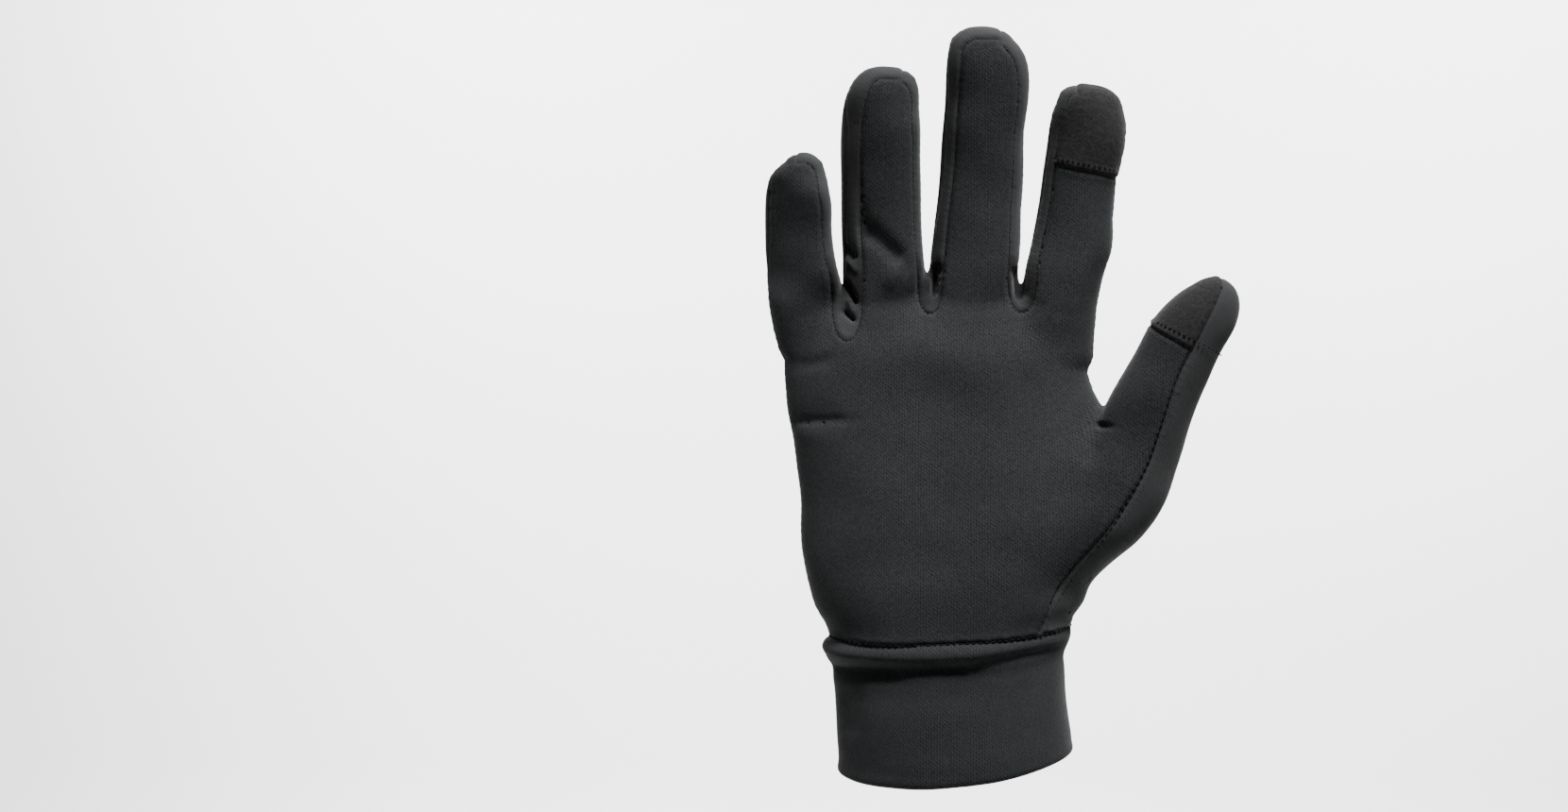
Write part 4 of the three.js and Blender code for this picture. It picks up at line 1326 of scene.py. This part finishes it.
def thumbSeamPath():
    # the outer seam of the thumb in the front view, from the cuff to below its tip
    thumb = fingers["thumb"]
    along = np.linspace(*thumbSeam["along"], 160)
    aside = sampler(thumbSeam["path"], "along")(along)["aside"] * thumb["width"]
    lean = math.radians(thumb["lean"])
    x = thumb["root"][0] + along * thumb["length"] * math.sin(lean) + aside * math.cos(lean)
    z = thumb["root"][2] + along * thumb["length"] * math.cos(lean) - aside * math.sin(lean)
    keep = z > edgeHeight("seam", cuff["height"], x, thumbSeam["frontY"]) + thumbSeam["aboveCuff"]
    return np.stack([x, z], axis=1)[keep]


def patchEdgePath(name):
    # across the finger, a little above the patch's lower edge
    finger, patch = fingers[name], patches[name]
    across = np.linspace(-1, 1, 40) * stitches["edgeShare"] * finger["width"]
    along = finger["length"] - patch["length"] + patch["slope"] * across + stitches["patch"]["above"]
    at = finger["root"] + along[:, None] * finger["upward"] + across[:, None] * finger["side"]
    return at[:, [0, 2]]


def cuffSeamPath():
    # round the top of the cuff, a rounded section whose sides follow powers of cosine and sine, settled
    # onto the hand's cloth at the seam
    turn = np.linspace(0, 2 * math.pi, 220)
    x = cuff["centreX"] + cuffTopHalf * np.sign(np.cos(turn)) * np.abs(np.cos(turn)) ** (2 / cuff["power"])
    y = cuffTop * np.sign(np.sin(turn)) * np.abs(np.sin(turn)) ** (2 / cuff["power"])
    points = np.stack([x, y, edgeHeight("seam", cuff["height"], x, y)], axis=1)
    points = settle(points, plainCloth, 6)
    points[:, 2] = edgeHeight("seam", cuff["height"], points[:, 0], points[:, 1])
    return points


def makeThreads():
    # the stitches of every seam as one mesh
    runs = [("thumb", ontoCloth(thumbSeamPath(), False)), ("cuff", cuffSeamPath())]
    for (_, side), seam in stripSeams.items():
        runs.append(("strip", ontoCloth(seam, side == "back")))
    for name in patches:
        runs.append(("patch", ontoCloth(patchEdgePath(name), False)))
    points, faces, count = [], [], 0
    for kind, path in runs:
        places, ahead = evenSteps(path, stitches[kind]["pitch"])
        more, joined = threadStitches(places, ahead, slopeOf(plainCloth, places), stitches[kind])
        points.append(more)
        faces.append(joined + count)
        count += len(more)
    points, faces = np.concatenate(points), np.concatenate(faces)
    piece = meshPiece("seam_threads", points, faces, (points[:, 0], points[:, 2]), blackThread)
    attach(piece, "root")
    print("threads", len(faces), "triangles")


makeHand()
makeCuff()
makeThreads()

# Camera in metres: level, in front of the glove and turned so that the glove stands where the photograph
# shows it. width and focal are in its pixels, and aside is how far beside the glove the camera looks
photo = {
    "width": 1660, "focal": 2322.0, "sensor": 36.0,
    "distance": 0.7, "x": 0.0147, "z": 0.114, "aside": 0.069,
}


def makeCamera():
    # the lens is the sensor's width times the focal length over the picture's width
    camera = bpy.data.objects.new("camera", bpy.data.cameras.new("camera"))
    camera.data.sensor_width = photo["sensor"]
    camera.data.lens = photo["focal"] / photo["width"] * photo["sensor"]
    yaw = math.atan(photo["aside"] / photo["distance"])
    camera.location = (photo["x"], -photo["distance"], photo["z"])
    camera.rotation_euler = (math.pi / 2, 0, yaw)
    bpy.context.collection.objects.link(camera)
    bpy.context.scene.camera = camera


# In metres: height of the floor, depth of the wall, radius of the bend between them, and how far they reach
studio = {
    "floor": -0.55, "wall": 0.9, "bend": 0.4, "half": 2.2, "near": -1.6, "tall": 1.8,
    "paper": 0.86, "world": 0.34,
}


def makeStudio():
    # one sheet: a floor that bends up into a wall behind the glove by a quarter of a circle
    bend = np.linspace(0, math.pi / 2, 16)
    bendDepth = studio["wall"] - studio["bend"] + studio["bend"] * np.sin(bend)
    bendHeight = studio["bend"] * (1 - np.cos(bend))
    depth = np.concatenate([[studio["near"]], bendDepth, [studio["wall"]]])
    height = np.concatenate([[0], bendHeight, [studio["tall"]]]) + studio["floor"]
    left = np.stack([np.full_like(depth, -studio["half"]), depth, height], axis=1)
    right = left * [-1, 1, 1]
    points = np.concatenate([left, right])
    rows = np.arange(len(depth) - 1)
    count = len(depth)
    faces = np.stack([rows, rows + count, rows + count + 1, rows + 1], axis=1)
    paper = Fabric("pale_paper", fabrics["paper"])
    paper.shader.inputs["Base Color"].default_value = (studio["paper"], studio["paper"], studio["paper"], 1)
    mesh = bpy.data.meshes.new("backdrop")
    mesh.from_pydata(points.tolist(), [], faces.tolist())
    mesh.polygons.foreach_set("use_smooth", np.ones(len(faces), dtype=bool))
    mesh.materials.append(paper.material)
    backdrop = bpy.data.objects.new("backdrop", mesh)
    bpy.context.collection.objects.link(backdrop)
    world = bpy.data.worlds.new("studio")
    world.use_nodes = True
    world.node_tree.nodes["Background"].inputs["Color"].default_value = (1, 1, 1, 1)
    world.node_tree.nodes["Background"].inputs["Strength"].default_value = studio["world"]
    bpy.context.scene.world = world


# Lamps in metres, watts and degrees. The two for the backdrop pass beside the glove
lamps = {
    "key": {"at": (0.33, -0.53, 1.3), "to": (0.01, 0, 0.125), "size": 0.4, "power": 6.9, "spread": 46},
    "rimLeft": {"at": (-0.9, -0.03, 0.08), "to": (0, 0, 0.1), "size": 0.3, "power": 0.16, "spread": 46},
    "behind": {"at": (0.2, 0.6, 1.1), "to": (0, 0, 0.12), "size": 0.5, "power": 1.6, "spread": 46},
    "backdropLeft": {
        "at": (-0.5, 0.2, 1.05), "to": (-0.35, 0.9, 0.12), "size": 0.4, "power": 20.0, "spread": 92,
    },
    "backdropRight": {
        "at": (0.5, 0.2, 1.05), "to": (0.35, 0.9, 0.12), "size": 0.4, "power": 20.0, "spread": 92,
    },
}


def makeLamps():
    # a round soft lamp at each place, turned to where it points
    for name, lamp in lamps.items():
        light = bpy.data.lights.new(name, "AREA")
        light.shape = "DISK"
        light.size = lamp["size"]
        light.energy = lamp["power"]
        light.spread = math.radians(lamp["spread"])
        holder = bpy.data.objects.new(name, light)
        holder.location = lamp["at"]
        aim = Vector(lamp["to"]) - Vector(lamp["at"])
        holder.rotation_euler = aim.to_track_quat("-Z", "Y").to_euler()
        bpy.context.collection.objects.link(holder)


makeCamera()
makeStudio()
makeLamps()
print("camera, backdrop and lamps set")
